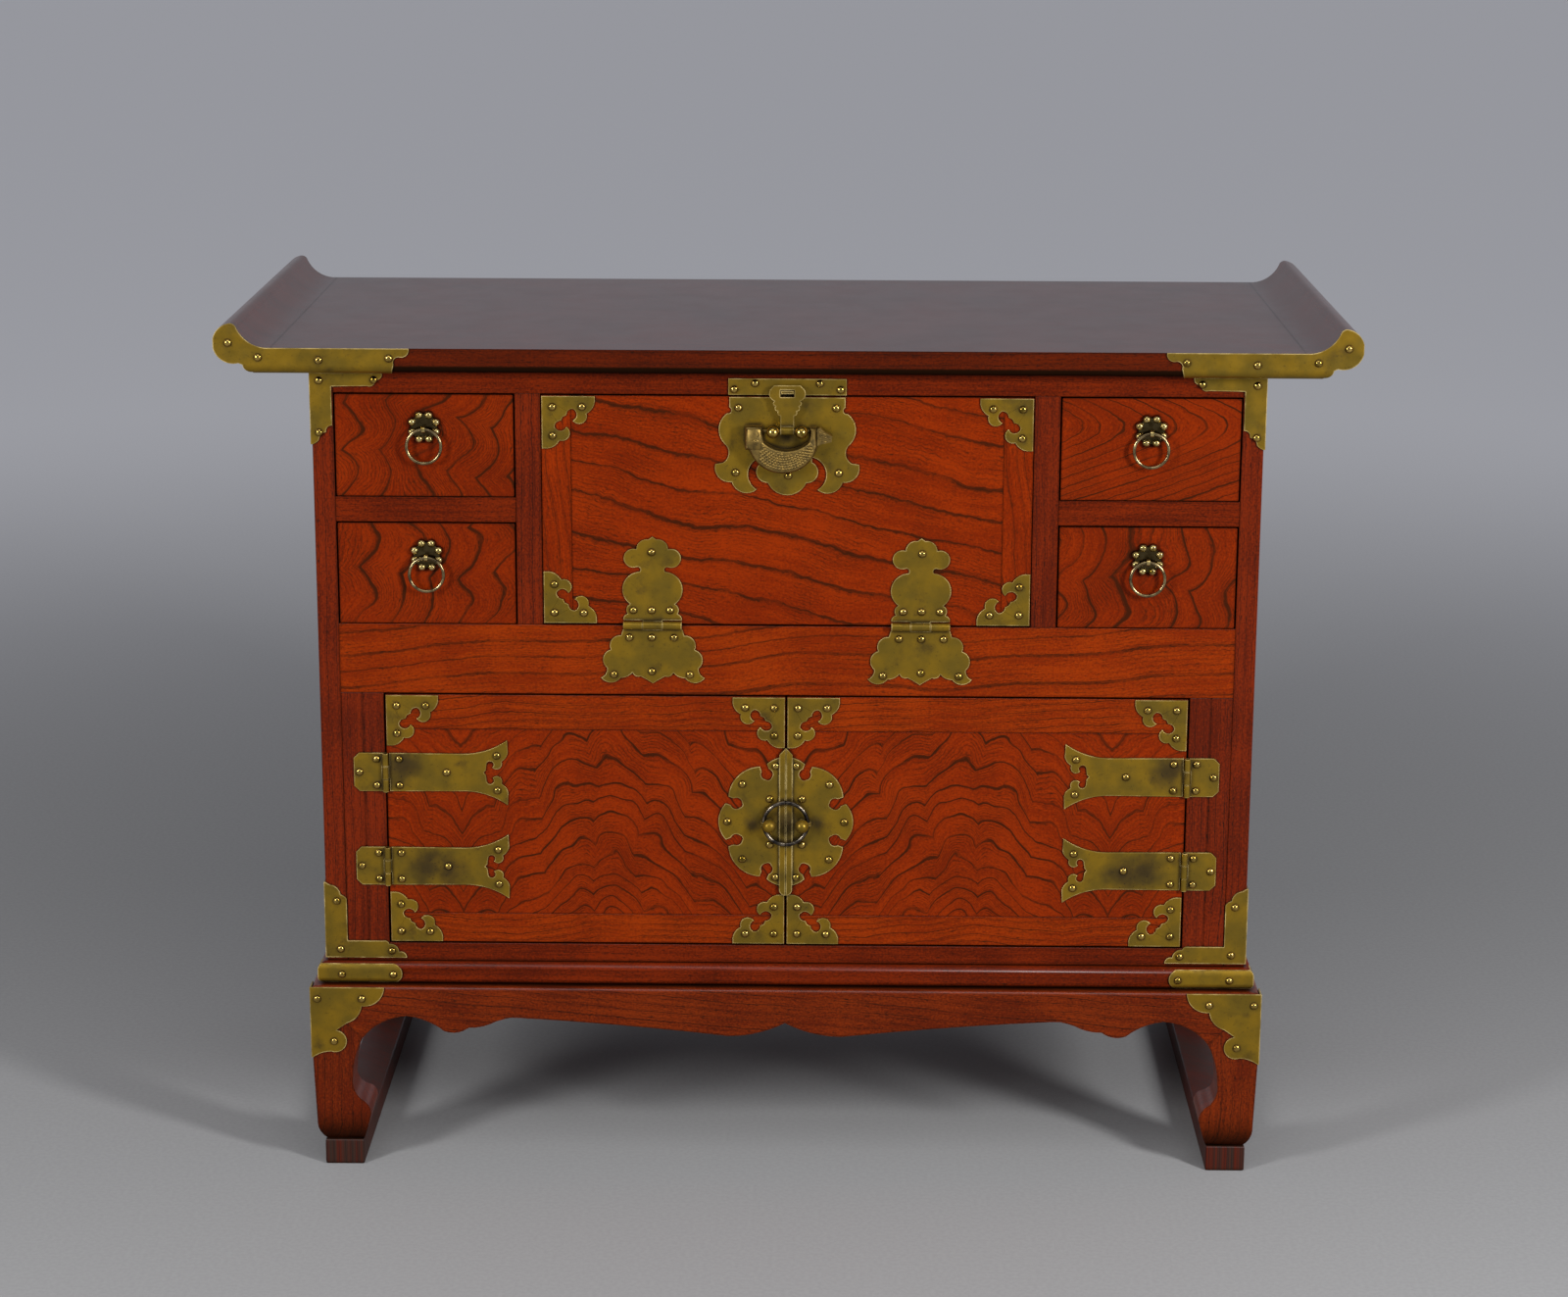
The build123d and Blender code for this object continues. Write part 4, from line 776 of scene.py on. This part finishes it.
def add_raised_plate(mesh, outline, y, facing, rise):
    """Plate standing on an upright face, a little smaller at its front."""
    middle = sum((lock_point(place, y) for place in outline), Vector()) / len(outline)
    loops = []
    for share, height in ((1.0, -0.3 * MM), (1.0, 0.5 * rise), (0.94, rise)):
        points = [middle + (lock_point(place, y) - middle) * share + facing * height for place in outline]
        loops.append([mesh.verts.new(point) for point in points])
    for lower, upper in zip(loops, loops[1:]):
        skin(mesh, lower, upper)
    mesh.faces.new(reversed(loops[0]))
    mesh.faces.new(loops[-1])


fish_mesh = bmesh.new()
for y, facing in cheek("fish_padlock"):
    for place in scale_places():
        add_dome(fish_mesh, lock_point(place, y), facing, SCALE_R * MM, SCALE_H * MM, 7, SCALE_PROFILE)
    add_raised_plate(fish_mesh, HEAD, y, facing, HEAD_RISE * MM)
    brow = y + facing.y * HEAD_RISE * MM
    for radius, height in EYE_DOMES:
        add_dome(fish_mesh, lock_point(EYE, brow), facing, radius * MM, height * MM)
    add_ridge(fish_mesh, [lock_point(place, brow) for place in CURL], CURL_R * MM)
    add_ridge(fish_mesh, [lock_point(place, brow) for place in LIP], LIP_R * MM)
as_piece("fish_carving", fish_mesh, bronze, "fish_padlock")
tail_mesh = bmesh.new()
for y, facing in cheek("padlock_bolt"):
    for ray in TAIL_RAYS:
        add_ridge(tail_mesh, [lock_point(place, y) for place in ray], RAY_R * MM)
as_piece("tail_rays", tail_mesh, bronze, "padlock_bolt")


# Studio
def area_light(name, place, target, size, power):
    """Soft box aimed at a point."""
    lamp = bpy.data.lights.new(name, "AREA")
    lamp.shape = "RECTANGLE"
    lamp.size, lamp.size_y = size
    lamp.energy = power
    holder = bpy.data.objects.new(name, lamp)
    holder.location = place
    holder.rotation_euler = (Vector(target) - Vector(place)).to_track_quat("-Z", "Y").to_euler()
    bpy.context.scene.collection.objects.link(holder)


MIDDLE = (0.0, -0.1, 0.42)
area_light("left_box", (-1.9, -1.9, 1.3), MIDDLE, (0.4, 0.8), 38)
area_light("right_box", (1.9, -1.9, 1.35), MIDDLE, (0.3, 0.8), 59)
area_light("high_box", (0.0, -2.0, 3.2), MIDDLE, (2.4, 1.4), 22)

floor_mesh = bpy.data.meshes.new("floor")
FLOOR_HALF = 60.0           # half the side of the floor
FADE_FROM = 0.9             # distance out where the floor begins to take on the background
FADE_TO = 4.0
FADE_LEVEL = 0.765          # share of the background that it takes on
FILL = 0.6                  # level of the background as a light
floor_mesh.from_pydata(
    [(x * FLOOR_HALF, y * FLOOR_HALF, 0) for x, y in ((-1, -1), (1, -1), (1, 1), (-1, 1))], [],
    [(0, 1, 2, 3)],
)
floor = bpy.data.objects.new("floor", floor_mesh)
bpy.context.scene.collection.objects.link(floor)
floor_paint = Paint("pale_floor")
mottle = floor_paint.span(floor_paint.noise(floor_paint.place, 4 * MM, 3), 0.3, 0.7)
outward = floor_paint.node("ShaderNodeVectorMath", {0: floor_paint.place}, operation="LENGTH")
distance = outward.outputs["Value"]
rays = floor_paint.node("ShaderNodeLightPath").outputs
seen = floor_paint.math("MAXIMUM", rays["Is Camera Ray"], rays["Is Glossy Ray"])
faded = floor_paint.span(distance, FADE_FROM, FADE_TO, 0.0, FADE_LEVEL)
floor_paint.finish({
    "Base Color": floor_paint.blend(mottle, FLOOR, tuple(0.93 * value for value in FLOOR[:3]) + (1,)),
    "Roughness": 0.9,
    "Specular IOR Level": 0.2,
    "Emission Color": BACKGROUND,
    "Emission Strength": floor_paint.times(seen, faded),
})
floor_mesh.materials.append(floor_paint.material)

world = bpy.data.worlds.new("studio")
bpy.context.scene.world = world
world.use_nodes = True
sky = world.node_tree
background = sky.nodes["Background"]
background.inputs["Color"].default_value = BACKGROUND
sky_rays = sky.nodes.new("ShaderNodeLightPath").outputs
sky_seen = sky.nodes.new("ShaderNodeMath")
sky_seen.operation = "MAXIMUM"
sky.links.new(sky_rays["Is Camera Ray"], sky_seen.inputs[0])
sky.links.new(sky_rays["Is Glossy Ray"], sky_seen.inputs[1])
sky_level = sky.nodes.new("ShaderNodeMapRange")
sky_level.inputs["To Min"].default_value = FILL
sky_level.inputs["To Max"].default_value = 1.0
sky.links.new(sky_seen.outputs[0], sky_level.inputs["Value"])
sky.links.new(sky_level.outputs[0], background.inputs["Strength"])

# Camera at the photograph's place: a long lens, a little above the top and looking down
CAMERA_PLACE = Vector((32.8, -3232.85, 1263.7)) * MM
PITCH = radians(14.21)
YAW = radians(-0.66)
ROLL = radians(0.22)
ahead = Vector((sin(YAW) * cos(PITCH), cos(YAW) * cos(PITCH), -sin(PITCH)))
level_right = Vector((cos(YAW), -sin(YAW), 0))
level_up = level_right.cross(ahead)
right = level_right * cos(ROLL) + level_up * sin(ROLL)
up = level_up * cos(ROLL) - level_right * sin(ROLL)
camera_data = bpy.data.cameras.new("camera")
camera_data.sensor_fit = "HORIZONTAL"
camera_data.sensor_width = 36
camera_data.lens = 80.31
camera_data.clip_end = 200
camera = bpy.data.objects.new("camera", camera_data)
camera.matrix_world = Matrix.Translation(CAMERA_PLACE) @ Matrix((right, up, -ahead)).transposed().to_4x4()
bpy.context.scene.collection.objects.link(camera)
bpy.context.scene.camera = camera
bpy.context.scene.view_settings.view_transform = "Standard"
